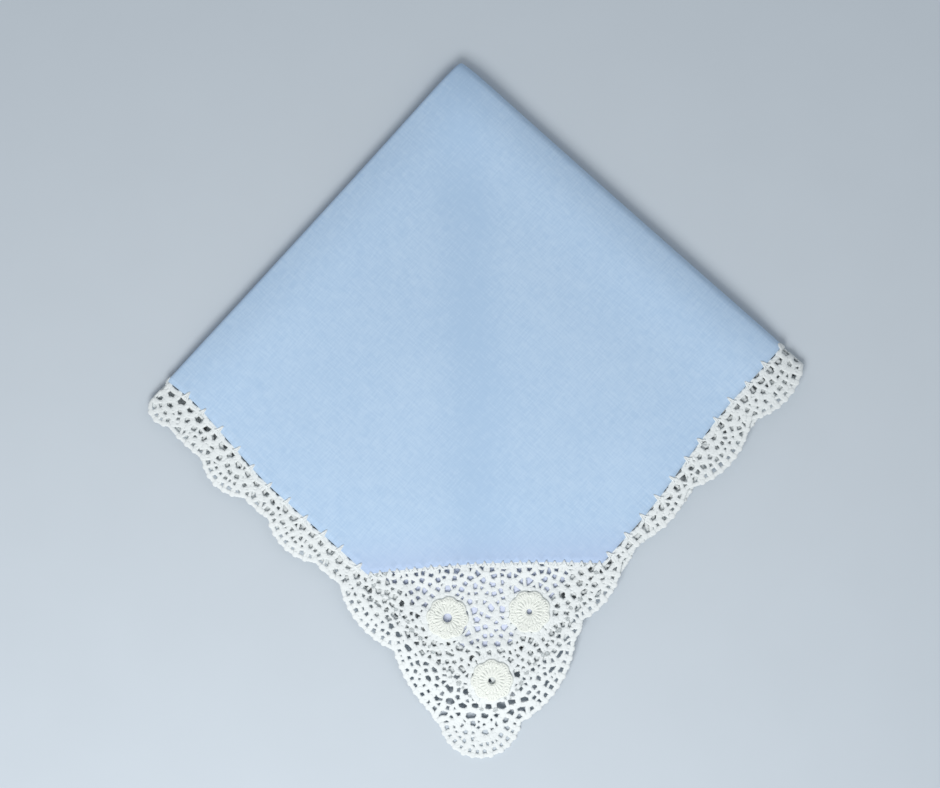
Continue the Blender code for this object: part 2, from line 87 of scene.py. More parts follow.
@dataclass(frozen=True)
class Fold:
    """How the open sheet lies once it is folded in quarters. Sizes are in mm."""

    cloth_half: float = 137.0
    corner_radius: float = 15.0
    crease_a: float = 0.3
    crease_b: float = -1.2
    layer: float = 1.0
    pitch: float = 1.4
    tip_place: Point = (0.6, 111.9)
    tip_rounding: float = 0.6
    tip_reach: float = 4.0
    slip_u: float = -3.4
    slip_v: float = 0.8
    slip_reach: float = 30.0
    flare: float = 1.1
    flare_width: float = 30.0
    first_edge_puff: float = 1.0
    second_edge_puff: float = 1.6
    edge_puff_at: float = 9.0
    edge_puff_width: float = 13.0
    first_pinch: float = 2.1
    second_pinch: float = 2.2
    pinch_reach: float = 15.0
    crown_height: float = 1.3
    crown_width: float = 46.0
    crown_place: Point = (92.0, 62.0)
    trough_depth: float = 0.9
    trough_width: float = 11.0
    flat_from: float = 118.0
    flat_to: float = 150.0
    sag_from: float = 26.0
    sag_to: float = 44.0
    sink: float = 0.75
    sink_from: float = 162.5
    sink_over: float = 5.0
    sink_margin: float = 1.0

    @property
    def first_radius(self) -> float:
        """Radius of the first crease, in which two layers meet."""
        return self.pitch / 2

    @property
    def second_radius(self) -> float:
        """Radius of the second crease, at the middle of the two plies that go round it."""
        return self.pitch

    @property
    def stack(self) -> float:
        """Height of the four layers where they lie flat."""
        return 3 * self.pitch + self.layer

    def puff(self, u: Array, v: Array) -> Array:
        """How much higher than flat the stack is.

        Args:
            u: Distances from the first folded edge.
            v: Distances from the second folded edge.

        Returns:
            The added height, at the top of the stack.
        """
        first = self.first_edge_puff * bell(u - self.edge_puff_at, self.edge_puff_width)
        second = self.second_edge_puff * bell(v - self.edge_puff_at, self.edge_puff_width)
        from_crown = np.hypot(u - self.crown_place[0], v - self.crown_place[1])
        crown = self.crown_height * bell(from_crown, self.crown_width)
        trough = self.trough_depth * bell((u - v) / ROOT_TWO, self.trough_width)
        first_near = np.clip(1 - u / self.pinch_reach, 0, 1) ** 2
        second_near = np.clip(1 - v / self.pinch_reach, 0, 1) ** 2
        pinch = np.hypot(self.first_pinch * first_near, self.second_pinch * second_near)
        fade = eased((self.flat_to - np.maximum(u, v)) / (self.flat_to - self.flat_from))
        return (first + second + crown + self.trough_depth - trough) * fade - pinch

    def sag(self, u: Array, v: Array, middle: Array) -> Array:
        """How far a layer sinks past the layers below it.

        Args:
            u: Distances from the first folded edge.
            v: Distances from the second folded edge.
            middle: Height of the layer's middle.

        Returns:
            The depth that it sinks by.
        """
        corner = self.cloth_half - self.corner_radius
        past = np.hypot(np.maximum(u - corner, 0), np.maximum(v - corner, 0))
        hanging = (middle - self.layer / 2) * eased((past - self.sag_from) / (self.sag_to - self.sag_from))
        past_cut = eased(((u + v) / ROOT_TWO - self.sink_from) / self.sink_over)
        on_cloth = eased((self.corner_radius + self.sink_margin - past) / self.sink_over)
        between_top_layers = 2.5 * self.pitch + self.layer / 2
        return hanging + self.sink * past_cut * on_cloth * (middle > between_top_layers)

    def settled(self, u: Array, v: Array, below: Array) -> tuple[Array, Array]:
        """The plan place of a folded point, as a folder's hands leave it.

        Args:
            u: Distances from the first folded edge.
            v: Distances from the second folded edge.
            below: Share of the stack's height that lies over the point.

        Returns:
            The settled u and v.
        """
        half = self.cloth_half
        spread_u = self.flare * (v / half) ** 2 * np.exp(-np.maximum(u, 0) / self.flare_width)
        spread_v = self.flare * (u / half) ** 2 * np.exp(-np.maximum(v, 0) / self.flare_width)
        from_tip = np.maximum(u, 0) + np.maximum(v, 0)
        drawn_in = self.tip_rounding * np.exp(-from_tip / self.tip_reach)
        slip_u = self.slip_u * below * u / half * eased(v / self.slip_reach)
        slip_v = self.slip_v * below * v / half * eased(u / self.slip_reach)
        return u + slip_u + drawn_in - spread_u, v + slip_v + drawn_in - spread_v

    def placed(self, points: Array) -> Array:
        """Folds points of the open sheet.

        Args:
            points: Rows of a, b and the height over the sheet's middle, which counts toward the face
                that ends up outside.

        Returns:
            Rows of X, Y and Z in mm.
        """
        a, b, height = points.T
        first = a - self.crease_a
        theta = np.clip(first / self.first_radius, -math.pi / 2, math.pi / 2)
        beyond_first = np.maximum(abs(first) - self.first_radius * math.pi / 2, 0)
        edge_u = self.layer / 2 + self.first_radius
        u = edge_u - (self.first_radius + height) * np.cos(theta) + beyond_first
        ply = self.second_radius + self.first_radius * np.sin(theta)
        ply_face = ply + height * np.sin(theta)

        second = b - self.crease_b
        phi = np.clip(second / self.second_radius, -math.pi / 2, math.pi / 2)
        beyond_second = np.maximum(abs(second) - self.second_radius * math.pi / 2, 0)
        edge_v = self.layer / 2 + self.second_radius + self.first_radius
        v = edge_v - ply_face * np.cos(phi) + beyond_second
        middle = self.stack / 2 + ply * np.sin(phi)
        z = self.stack / 2 + ply_face * np.sin(phi)

        z = z * (1 + self.puff(u, v) / self.stack) - self.sag(u, v, middle)
        u, v = self.settled(u, v, 1 - middle / self.stack)
        x = self.tip_place[0] + (u - v) / ROOT_TWO
        y = self.tip_place[1] - (u + v) / ROOT_TWO
        return np.stack([x, y, z], axis=-1)

    def from_plan(self, across: float, down: float) -> Point:
        """The place on the sheet of a point of the top layer, given in the folded plan."""
        return (down + across) / ROOT_TWO + self.crease_a, (down - across) / ROOT_TWO + self.crease_b

    def on_top(self, points: Array) -> Array:
        """Which points of the sheet are in the quarter that lies on top."""
        return (points[:, 0] > self.crease_a) & (points[:, 1] > self.crease_b)


FOLD = Fold()


def arc(centre: Point, radius: float, start: float, end: float, step: float) -> Ring:
    """Points of an arc.

    Args:
        centre: Middle of its circle.
        radius: The circle's radius.
        start: Where it starts, in degrees.
        end: Where it ends, in degrees.
        step: Greatest distance from one point to the next.

    Returns:
        The points, with both ends.
    """
    steps = max(2, math.ceil(math.radians(abs(end - start)) * radius / step))
    angles = np.radians(np.linspace(start, end, steps + 1))
    return [(centre[0] + radius * math.cos(t), centre[1] + radius * math.sin(t)) for t in angles]


def bulged(start: Point, end: Point, bulge: float, step: float) -> Ring:
    """Points of an arc that bulges to the right of the way.

    Args:
        start: Where the arc starts.
        end: Where it ends, which isn't among the points.
        bulge: How far it stands out from the straight way.
        step: Greatest distance from one point to the next.

    Returns:
        The points, in order.
    """
    along = np.array(end) - np.array(start)
    half = np.hypot(*along) / 2
    if not bulge:
        count = max(1, math.ceil(2 * half / step))
        return [tuple(np.array(start) + along * k / count) for k in range(count)]
    right = np.array((along[1], -along[0])) / (2 * half)
    radius = (half * half + bulge * bulge) / (2 * bulge)
    centre = (np.array(start) + np.array(end)) / 2 + right * (bulge - radius)
    first = math.atan2(start[1] - centre[1], start[0] - centre[0])
    sweep = 4 * math.atan2(bulge, half)
    return arc(centre, radius, math.degrees(first), math.degrees(first + sweep), step)[:-1]


def inside(points: Array, rings: Iterable[Ring]) -> Array:
    """Which points lie inside an odd number of the rings.

    Args:
        points: Rows of two coordinates.
        rings: Closed lines, each a ring of points.

    Returns:
        True for each point that does.
    """
    odd = np.zeros(len(points), bool)
    for ring in rings:
        ends = np.asarray(ring, float)
        starts = np.roll(ends, 1, axis=0)
        for (x0, y0), (x1, y1) in zip(starts, ends):
            if y0 == y1:
                continue
            crosses = (y0 > points[:, 1]) != (y1 > points[:, 1])
            at = x0 + (points[:, 1] - y0) * (x1 - x0) / (y1 - y0)
            odd ^= crosses & (points[:, 0] < at)
    return odd


def moved_in(ring: Ring, by: float) -> Array:
    """A closed line moved in.

    Args:
        ring: Its points, anticlockwise.
        by: How far it is moved.

    Returns:
        Rows of its new points.
    """
    points = np.array(ring)
    along = np.roll(points, -1, axis=0) - np.roll(points, 1, axis=0)
    along /= np.hypot(*along.T)[:, None]
    return points + np.stack([-along[:, 1], along[:, 0]], axis=1) * by


def nearest_on(points: Array, line: Sequence[Point], closed: bool) -> tuple[Array, Array]:
    """The nearest places on a line of straight bits.

    Args:
        points: Rows of two coordinates.
        line: The line's points.
        closed: Whether its last point joins its first.

    Returns:
        The distances, and the nearest places on the line.
    """
    ends = np.asarray(line, float)
    starts = np.roll(ends, 1, axis=0)
    if not closed:
        starts, ends = starts[1:], ends[1:]
    nearest = np.full(len(points), np.inf)
    places = np.zeros((len(points), 2))
    for start, end in zip(starts, ends):
        along = end - start
        t = np.clip((points - start) @ along / max(along @ along, TINY), 0, 1)
        place = start + t[:, None] * along
        distance = np.hypot(*(points - place).T)
        nearer = distance < nearest
        nearest[nearer] = distance[nearer]
        places[nearer] = place[nearer]
    return nearest, places


@dataclass(frozen=True)
class Walk:
    """A line on the sheet that rows of stitches follow."""

    line: Array
    closed: bool

    @property
    def _bits(self) -> tuple[Array, Array]:
        """Starts and ends of its straight bits."""
        ends = np.roll(self.line, -1, axis=0) if self.closed else self.line[1:]
        return self.line[: len(ends)], ends

    @property
    def length(self) -> float:
        """Its whole length."""
        starts, ends = self._bits
        return float(np.hypot(*(ends - starts).T).sum())

    def at(self, distances: Array, aside: float) -> tuple[Array, Array]:
        """Places beside the line.

        Args:
            distances: How far along the line each place is.
            aside: How far to the right of the way it lies.

        Returns:
            The places, and the directions of the way there.
        """
        starts, ends = self._bits
        lengths = np.hypot(*(ends - starts).T)
        reached = np.concatenate([[0], np.cumsum(lengths)])
        bit = np.clip(np.searchsorted(reached, distances, side="right") - 1, 0, len(lengths) - 1)
        along = (ends - starts)[bit] / lengths[bit][:, None]
        right = np.stack([along[:, 1], -along[:, 0]], axis=1)
        places = starts[bit] + along * (distances - reached[bit])[:, None] + right * aside
        return places, along


@dataclass(frozen=True)
class Pattern:
    """The maker's flat pattern: outlines of the cloth, the edging and the corner piece, in mm."""

    fold: Fold = FOLD
    step: float = 1.6
    seam: float = 0.3
    cut_bow: float = 1.7
    edge_dip_at: float = 10.0
    edge_dip_width: float = 8.0
    free_edges: tuple = (
        ("side", "length", "dip", "bow", "bow_from", "bow_to"),
        ("a", 88.6, 0.0, 4.0, 20.0, 74.0),
        ("b", 87.6, 0.9, 2.8, 15.0, 48.0),
    )
    scallop_pitch: float = 30.3
    place_unevenness: float = 1.5
    bulge_unevenness: float = 0.4
    notch_reach: float = 9.0
    scallop_bulge: float = 2.3
    scallops_per_side: int = 4
    corner_notches: Point = (22.5, 67.5)
    corner_bulge: float = 4.2
    crease_bulge: float = 1.5
    top_rim: tuple = (
        ("u", "v", "bulge"),
        (145.6, 0.0, 3.9),
        (145.4, 24.0, 4.6),
        (145.2, 53.0, 2.4),
        (145.6, 74.0, 0.0),
        (145.0, 84.0, 3.0),
        (148.1, 106.3, 0.9),
        (150.4, 112.1, 4.0),
        (155.8, 143.7, 11.0),
        (137.0, 161.5, 0.6),
        (132.2, 160.6, 1.5),
        (110.1, 153.5, 3.4),
        (83.0, 149.2, 0.3),
        (73.0, 149.4, 3.4),
        (52.5, 149.0, 0.3),
        (42.5, 149.2, 3.4),
        (24.4, 149.0, 0.4),
        (9.8, 148.6, 2.6),
        (0.0, 146.4, 1.5),
    )
    rosettes: tuple = (
        ("name", "u", "v", "turn", "eye"),
        ("rosette_1", 115.8, 134.3, 10.0, 1.5),
        ("rosette_2", 133.8, 115.5, 25.0, 0.95),
        ("rosette_3", 139.6, 139.6, 0.0, 1.25),
    )
    rosette_radius: float = 6.9
    insert_end_radius: float = 8.6
    spike_pitch: float = 7.6
    cut_spike_pitch: float = 2.7

    def free_edge(self, row: dict, out: float) -> Ring:
        """One free edge of the top quarter.

        Args:
            row: The edge's row in the table.
            out: How far it is moved out.

        Returns:
            Its points, from its crease to the cut corner.
        """
        along = np.linspace(0, row["length"], math.ceil(row["length"] / self.step) + 1)
        dip = row["dip"] * bell(along - self.edge_dip_at, self.edge_dip_width)
        bow = row["bow"] * eased((along - row["bow_from"]) / (row["bow_to"] - row["bow_from"]))
        away = self.fold.cloth_half + out - dip + bow
        if row["side"] == "a":
            return list(zip(away, self.fold.crease_b + along))
        return list(zip(self.fold.crease_a + along, away))

    def cut_edge(self, inset: float) -> Ring:
        """The edge of the cut corner.

        Args:
            inset: How far it is moved toward the corner.

        Returns:
            Its points, from the b side to the a side.
        """
        side_a, side_b = rows(self.free_edges)
        start, end = self.free_edge(side_b, 0)[-1], self.free_edge(side_a, 0)[-1]
        shift = inset / ROOT_TWO
        points = bulged(start, end, self.cut_bow, self.step) + [end]
        return [(a + shift, b + shift) for a, b in points]

    def uncut_sides(self, out: float) -> Ring:
        """The cloth's sides and its rounded corners.

        Args:
            out: How far they are moved out.

        Returns:
            Their points, anticlockwise round from the cut corner.
        """
        side_a, side_b = rows(self.free_edges)
        middle = self.fold.cloth_half - self.fold.corner_radius
        points = list(reversed(self.free_edge(side_b, out)))
        for sign_a, sign_b in ((-1, 1), (-1, -1), (1, -1)):
            start = math.degrees(math.atan2(sign_b, sign_a)) - 45
            centre = (sign_a * middle, sign_b * middle)
            points += arc(centre, self.fold.corner_radius + out, start, start + 90, self.step)
        return points + self.free_edge(side_a, out)

    def cloth_outline(self) -> Ring:
        """Outline of the cloth, anticlockwise."""
        return list(reversed(self.cut_edge(0)))[:-1] + self.uncut_sides(0)[:-1]

    def spikes(self, line: Sequence[Point], pitch: float) -> tuple["Walk", Array]:
        """Where the spikes along one of the cloth's edges stand.

        Args:
            line: The edge.
            pitch: From one spike to the next, about.

        Returns:
            A line to walk along, and how far along it each spike is.
        """
        walk = Walk(np.array(line), False)
        count = int(walk.length / pitch)
        return walk, (np.arange(count) + 0.5) * walk.length / count

    def slots(self) -> tuple[Array, Array]:
        """The slots between the spikes along the cloth's sides.

        Returns:
            Their middles, and the ways out there.
        """
        walk, distances = self.spikes(self.uncut_sides(0), self.spike_pitch)
        places, along = walk.at((distances[1:] + distances[:-1]) / 2, 0)
        return places, np.stack([along[:, 1], -along[:, 0]], axis=1)

    def rosette_places(self) -> list[Point]:
        """Centres of the three rosettes."""
        fold = self.fold
        return [(row["u"] + fold.crease_a, row["v"] + fold.crease_b) for row in rows(self.rosettes)]

    def insert_end(self) -> Ring:
        """The corner piece's two sides and its rounded end.

        Returns:
            Their points, anticlockwise from the a side.
        """
        centre, radius = self.rosette_places()[2], self.insert_end_radius
        to_b, from_a = self.cut_edge(self.seam)[0], self.cut_edge(self.seam)[-1]
        angles = []
        for outside, side in ((from_a, 1), (to_b, -1)):
            away = np.array(outside) - np.array(centre)
            angle = math.atan2(away[1], away[0]) + side * math.acos(radius / np.hypot(*away))
            angles.append(math.degrees(angle))
        return [from_a] + arc(centre, radius, angles[0], angles[1] % 360, self.step) + [to_b]

    def insert_outline(self) -> Ring:
        """Outline of the corner piece, anticlockwise."""
        return self.insert_end() + self.cut_edge(self.seam)[1:-1]

    def _plain_notches(self, sign_a: int, sign_b: int, jitter: random.Random) -> list[tuple]:
        """Rim notches and bulges of a quarter with a plain corner.

        Args:
            sign_a: The side of the sheet's middle that it is on, along a.
            sign_b: The same along b.
            jitter: Where its unevenness comes from.

        Returns:
            Each notch's place and the bulge beside it, anticlockwise round the sheet.
        """
        reach = self.fold.cloth_half + self.notch_reach
        corner = self.fold.cloth_half - self.fold.corner_radius
        side = []
        for k in range(self.scallops_per_side):
            shift = jitter.uniform(-self.place_unevenness, self.place_unevenness)
            bulge = self.scallop_bulge + jitter.uniform(-self.bulge_unevenness, self.bulge_unevenness)
            side.append((reach, self.scallop_pitch * (k + 0.5) + shift, bulge))
        turned = []
        for angle in np.radians(self.corner_notches):
            away = self.fold.corner_radius + self.notch_reach
            place = (corner + away * math.cos(angle), corner + away * math.sin(angle))
            turned.append((*place, self.corner_bulge))
        quarter = side + turned + [(b, a, bulge) for a, b, bulge in reversed(side)]
        if sign_a * sign_b < 0:
            quarter = list(reversed(quarter))
        return [(sign_a * a, sign_b * b, bulge) for a, b, bulge in quarter]

    def rim(self) -> Ring:
        """The scalloped rim.

        Returns:
            Its points, anticlockwise.
        """
        jitter = random.Random(SEED)
        fold = self.fold
        reach = fold.cloth_half + self.notch_reach
        at_crease = {(-1, 1): (-reach, fold.crease_b), (-1, -1): (fold.crease_a, -reach)}
        notches = []
        for row in rows(self.top_rim):
            notches.append((row["u"] + fold.crease_a, row["v"] + fold.crease_b, row["bulge"]))
        for signs in ((-1, 1), (-1, -1), (1, -1)):
            notches += self._plain_notches(*signs, jitter)
            if signs in at_crease:
                notches.append((*at_crease[signs], self.crease_bulge))
        points = []
        for here, there in zip(notches, notches[1:] + notches[:1]):
            points += bulged(here[:2], there[:2], here[2], self.step)
        return points


PATTERN = Pattern()


class Value:
    """A socket of a node graph, for use in Python expressions."""

    def __init__(self, graph: "Graph", socket: bpy.types.NodeSocket) -> None:
        """Wraps an output socket of the graph."""
        self.graph = graph
        self.socket = socket

    def _with(self, operation: str, *others: "Value | float") -> "Value":
        """A Math node of this value and the others.

        Args:
            operation: What the node does.
            others: Its further inputs.

        Returns:
            What comes out of it.
        """
        kind = "ShaderNodeMath"
        made = self.graph.node(kind, {"operation": operation}, dict(enumerate((self, *others))))
        return self.graph.out(made)

    def __add__(self, other: "Value | float") -> "Value":
        """self + other."""
        return self._with("ADD", other)

    __radd__ = __add__

    def __mul__(self, other: "Value | float") -> "Value":
        """self * other."""
        return self._with("MULTIPLY", other)

    __rmul__ = __mul__

    def __sub__(self, other: "Value | float") -> "Value":
        """self - other."""
        return self._with("SUBTRACT", other)

    def __rsub__(self, other: float) -> "Value":
        """other - self."""
        return self._with("MULTIPLY", -1.0)._with("ADD", other)

    def __truediv__(self, other: "Value | float") -> "Value":
        """self / other."""
        return self._with("DIVIDE", other)

    def __pow__(self, other: float) -> "Value":
        """self ** other."""
        return self._with("POWER", other)

    def sine(self) -> "Value":
        """Its sine."""
        return self._with("SINE")

    def size(self) -> "Value":
        """Its absolute value."""
        return self._with("ABSOLUTE")

    def angle(self, across: "Value") -> "Value":
        """The angle of a direction, in radians, with this value as its height."""
        return self._with("ARCTAN2", across)

    def between(self, low: float, high: float) -> "Value":
        """A share that rises smoothly with this value.

        Args:
            low: Where it starts from 0.
            high: Where it reaches 1.

        Returns:
            The share.
        """
        settings = {"interpolation_type": "SMOOTHSTEP"}
        sockets = {"Value": self, "From Min": low, "From Max": high}
        return self.graph.out(self.graph.node("ShaderNodeMapRange", settings, sockets))


class Graph:
    """A node graph that is built from Python expressions."""

    def __init__(self, tree: bpy.types.NodeTree) -> None:
        """Starts on a tree, which keeps the nodes that it has."""
        self.tree = tree

    def node(self, kind: str, settings: dict | None = None, sockets: dict | None = None) -> Node:
        """Adds a node.

        Args:
            kind: The node's type.
            settings: What is set on the node itself, before its sockets.
            sockets: Values or links of its input sockets, by name or index.

        Returns:
            The node.
        """
        made = self.tree.nodes.new(kind)
        for name, value in (settings or {}).items():
            setattr(made, name, value)
        for name, value in (sockets or {}).items():
            self.feed(made.inputs[name], value)
        return made

    def feed(self, socket: bpy.types.NodeSocket, value: object) -> None:
        """Links a value, a node or a socket into a socket, or sets it to a constant.

        Args:
            socket: The input socket.
            value: What goes into it.
        """
        if isinstance(value, Value):
            self.tree.links.new(value.socket, socket)
        elif isinstance(value, Node):
            self.tree.links.new(next(out for out in value.outputs if out.enabled), socket)
        elif isinstance(value, bpy.types.NodeSocket):
            self.tree.links.new(value, socket)
        else:
            socket.default_value = value

    def out(self, node: Node, name: str | int | None = None) -> Value:
        """An output of a node.

        Args:
            node: The node.
            name: The output's name or index. Without it, the first one is taken.

        Returns:
            The output as a value.
        """
        if name is None:
            return Value(self, next(socket for socket in node.outputs if socket.enabled))
        return Value(self, node.outputs[name])


@dataclass(frozen=True)
class Finish:
    """A finish, which becomes a material."""

    name: str
    slot: str
    colour: Triple
    roughness: float
    bump_strength: float = 0.5
    bump_depth: float = 0.00012
    sheen: float = 0.15
    sheen_roughness: float = 0.5
    specular: float = 0.25

    def material(self) -> bpy.types.Material:
        """The finish's material, made once.

        Returns:
            The material.
        """
        made = bpy.data.materials.get(self.name)
        if made is None:
            made = bpy.data.materials.new(self.name)
            made.use_nodes = True
            made.diffuse_color = (*self.colour, 1)
            graph = Graph(made.node_tree)
            shader = made.node_tree.nodes["Principled BSDF"]
            shader.inputs["Base Color"].default_value = (*self.colour, 1)
            shader.inputs["Roughness"].default_value = self.roughness
            self.dress(graph, shader)
        return made

    def dress(self, graph: Graph, shader: Node) -> None:
        """Adds what varies over the surface."""

    def noise(self, graph: Graph, place: object, scale: float, detail: float, flat: bool = False) -> Value:
        """A noise that runs about from 0 to 1.

        Args:
            graph: The node graph.
            place: Where in the noise each point is.
            scale: How closely its lumps follow each other.
            detail: How many finer sizes of lump it has.
            flat: Whether it varies in two directions only.

        Returns:
            The noise.
        """
        settings = {"noise_dimensions": "2D"} if flat else {}
        sockets = {"Vector": place, "Scale": scale, "Detail": detail}
        return graph.out(graph.node("ShaderNodeTexNoise", settings, sockets))

    def _raise(self, graph: Graph, shader: Node, relief: Value) -> None:
        """Gives the surface its relief and the sheen of its fibres.

        Args:
            graph: The node graph.
            shader: Its shader node.
            relief: How high the surface stands, as a share of the bump's depth.
        """
        sockets = {"Strength": self.bump_strength, "Distance": self.bump_depth, "Height": relief}
        graph.feed(shader.inputs["Normal"], graph.node("ShaderNodeBump", {}, sockets))
        shader.inputs["Sheen Weight"].default_value = self.sheen
        shader.inputs["Sheen Roughness"].default_value = self.sheen_roughness
        shader.inputs["Specular IOR Level"].default_value = self.specular

    def mixed(self, graph: Graph, factor: object, colour: object, other: object) -> Value:
        """A Mix node of two colours.

        Args:
            graph: The node graph.
            factor: The other colour's share.
            colour: The first colour.
            other: The other colour.

        Returns:
            The mixed colour.
        """
        made = graph.node("ShaderNodeMix", {"data_type": "RGBA"})
        colours = [socket for socket in made.inputs if socket.type == "RGBA"]
        graph.feed(made.inputs[0], factor)
        for socket, value in zip(colours, (colour, other)):
            graph.feed(socket, (*value, 1) if isinstance(value, tuple) else value)
        return Value(graph, next(socket for socket in made.outputs if socket.type == "RGBA"))


@dataclass(frozen=True)
class WovenCotton(Finish):
    """Fine plain-woven cotton with pale and darker slubs along both thread directions."""

    slub_length: float = 5.0
    slub_width: float = 0.55
    slub_strength: float = 0.55
    cloud_size: float = 26.0
    thread_pitch: float = 0.5
    # Painted shade: the cloth's colour is made deeper in a band along the middle trough of the top quarter,
    # where the trough lies in shade.
    trough_shade_width: float = 20.0
    painted_trough_shade: float = 0.11
    pale: Triple = (0.490, 0.640, 0.820)
    deep: Triple = (0.402, 0.560, 0.760)
    # Painted light and shade that the white net throws on the cloth near the corner: a pale lavender where
    # the cloth is turned under the net, and a deeper lavender on the other layers near the cut edge.
    painted_net_light_beside: Triple = (0.43, 0.53, 0.75)
    painted_net_light_under: Triple = (0.66, 0.70, 0.85)
    net_light_from: float = 205.0
    net_light_to: float = 240.0
    net_light_strength: float = 0.9
    trough_shade_from: float = 2.0
    slub_share: float = 0.85
    cloud_share: float = 0.15
    deep_at: float = 0.30
    pale_at: float = 0.70
    streak_roughness: float = 0.6
    weave_height: float = 0.5
    bump_strength: float = 0.22
    sheen: float = 0.12

    def _streaks(self, graph: Graph, place: Value, across: bool) -> Value:
        """Noise drawn out along one of the two thread directions.

        Args:
            graph: The node graph.
            place: Place on the flat sheet.
            across: Whether it is drawn out along b.

        Returns:
            The noise, about from 0 to 1.
        """
        length, width = 1 / self.slub_length, 1 / self.slub_width
        scale = (width, length, 1) if across else (length, width, 1)
        stretched = graph.node("ShaderNodeMapping", {}, {"Vector": place, "Scale": scale})
        streaks = self.noise(graph, stretched, 1.0, 3.0, flat=True)
        streaks.socket.node.inputs["Roughness"].default_value = self.streak_roughness
        return streaks

    def dress(self, graph: Graph, shader: Node) -> None:
        """Adds the slubs, soft clouds of colour, painted shading along the middle trough, painted light from
        the white net near the corner, and the weave's relief.

        Args:
            graph: The node graph.
            shader: Its shader node.
        """
        place = graph.out(graph.node("ShaderNodeUVMap", {"uv_map": "sheet"}))
        slubs = (self._streaks(graph, place, True) + self._streaks(graph, place, False)) * 0.5
        split = graph.node("ShaderNodeSeparateXYZ", {}, {0: place})
        a, b = graph.out(split, 0), graph.out(split, 1)
        # Painted shade along the middle trough: a band along the sheet's diagonal where the cloth's colour
        # is made deeper.
        middle = 1.0 - (a.size() - b.size()).size().between(self.trough_shade_from, self.trough_shade_width)
        clouds = self.noise(graph, place, 1 / self.cloud_size, 2.0, flat=True)
        share = slubs * self.slub_share + clouds * self.cloud_share - middle * self.painted_trough_shade
        tinted = self.mixed(graph, share.between(self.deep_at, self.pale_at), self.deep, self.pale)
        # Painted light and shade from the white net near the corner, mixed into the cloth's colour.
        corner = (a.size() + b.size()).between(self.net_light_from, self.net_light_to)
        turned_under = 1.0 - a.between(-1.0, 1.0)
        painted_net_light = self.mixed(graph, turned_under, self.painted_net_light_beside, self.painted_net_light_under)
        colour = self.mixed(graph, corner * self.net_light_strength, tinted, painted_net_light)
        graph.feed(shader.inputs["Base Color"], colour)
        turn = 2 * math.pi / self.thread_pitch
        weave = (a * turn).sine() * (b * turn).sine() * self.weave_height
        self._raise(graph, shader, weave + slubs * self.slub_strength * 2)


@dataclass(frozen=True)
class CrochetCotton(Finish):
    """Plied crochet cotton, whose twist and loops show as fine ridges."""

    ply_pitch: float = 1.5
    plies: int = 3
    # Darker colour for both the painted shade in the furrows of the twist and the random patches.
    shade: Triple = (0.69, 0.73, 0.75)
    fuzz_scale: float = 1900.0
    fuzz_height: float = 1.2
    patch_scale: float = 130.0
    patch_limits: Point = (0.45, 0.75)
    patch_darkening: float = 0.3
    furrow_limits: Point = (0.1, 1.0)
    painted_furrow_shade: float = 0.25
    twist_height: float = 0.5

    def dress(self, graph: Graph, shader: Node) -> None:
        """Adds the twist's ridges, painted shading in the furrows between its plies, and slight random
        differences of colour.

        Args:
            graph: The node graph.
            shader: Its shader node.
        """
        settings = {"attribute_type": "GEOMETRY", "attribute_name": "along"}
        along = graph.out(graph.node("ShaderNodeAttribute", settings), "Fac")
        settings = {"attribute_type": "GEOMETRY", "attribute_name": "round"}
        turned = graph.node("ShaderNodeAttribute", settings)
        split = graph.node("ShaderNodeSeparateXYZ", {}, {0: graph.out(turned, "Vector")})
        angle = graph.out(split, 1).angle(graph.out(split, 0))
        twist = (angle * float(self.plies) + along * (2 * math.pi / self.ply_pitch)).sine()
        place = graph.out(graph.node("ShaderNodeTexCoord"), "Object")
        fuzz = self.noise(graph, place, self.fuzz_scale, 3.0)
        patches = self.noise(graph, place, self.patch_scale, 2.0)
        # Painted shade: the colour darkens in the furrows of the twist, where shade falls between the plies.
        painted_furrow = (twist * -1.0).between(*self.furrow_limits) * self.painted_furrow_shade
        dark = painted_furrow + patches.between(*self.patch_limits) * self.patch_darkening
        graph.feed(shader.inputs["Base Color"], self.mixed(graph, dark, self.colour, self.shade))
        self._raise(graph, shader, twist * self.twist_height + fuzz * self.fuzz_height)


@dataclass(frozen=True)
class Backing(Finish):
    """The plain pale floor."""

    grain_scale: float = 40.0
    darkest: float = 0.96

    def dress(self, graph: Graph, shader: Node) -> None:
        """Adds a barely visible grain, so that the floor isn't one flat colour.

        Args:
            graph: The node graph.
            shader: Its shader node.
        """
        place = graph.out(graph.node("ShaderNodeTexCoord"), "Object")
        grain = self.noise(graph, place, self.grain_scale, 4.0)
        darker = tuple(channel * self.darkest for channel in self.colour)
        graph.feed(shader.inputs["Base Color"], self.mixed(graph, grain, self.colour, darker))


CLOTH_BLUE = WovenCotton("woven_blue", "cloth_blue", (0.40, 0.54, 0.74), 0.85)
WHITE = CrochetCotton("crochet_white", "thread_white", (0.75, 0.79, 0.80), 0.75)
CREAM = CrochetCotton("crochet_cream", "thread_cream", (0.79, 0.82, 0.78), 0.75, shade=(0.77, 0.79, 0.74))
FLOOR = Backing("pale_floor", "", (0.54, 0.60, 0.66), 0.9)


def in_scene(name: str, data: bpy.types.ID) -> Piece:
    """A new object in the scene.

    Args:
        name: Its name.
        data: Its mesh, camera or lamp.

    Returns:
        The object.
    """
    made = bpy.data.objects.new(name, data)
    bpy.context.scene.collection.objects.link(made)
    return made


def linked(name: str, points: Array, edges: Sequence = (), faces: Sequence = ()) -> Piece:
    """A mesh object in the scene.

    Args:
        name: Its name, and its mesh's.
        points: Rows of three coordinates.
        edges: Pairs of point numbers.
        faces: Rings of point numbers.

    Returns:
        The object.
    """
    mesh = bpy.data.meshes.new(name)
    mesh.from_pydata([tuple(point) for point in points], [tuple(edge) for edge in edges], list(faces))
    return in_scene(name, mesh)


def pressed(points: Array, most: float) -> Array:
    """Flattens heights so that they come up to, but not past, the most on each side of the sheet."""
    heights = most * np.tanh(points[:, 2:] / most)
    return np.concatenate([points[:, :2], heights], axis=1)


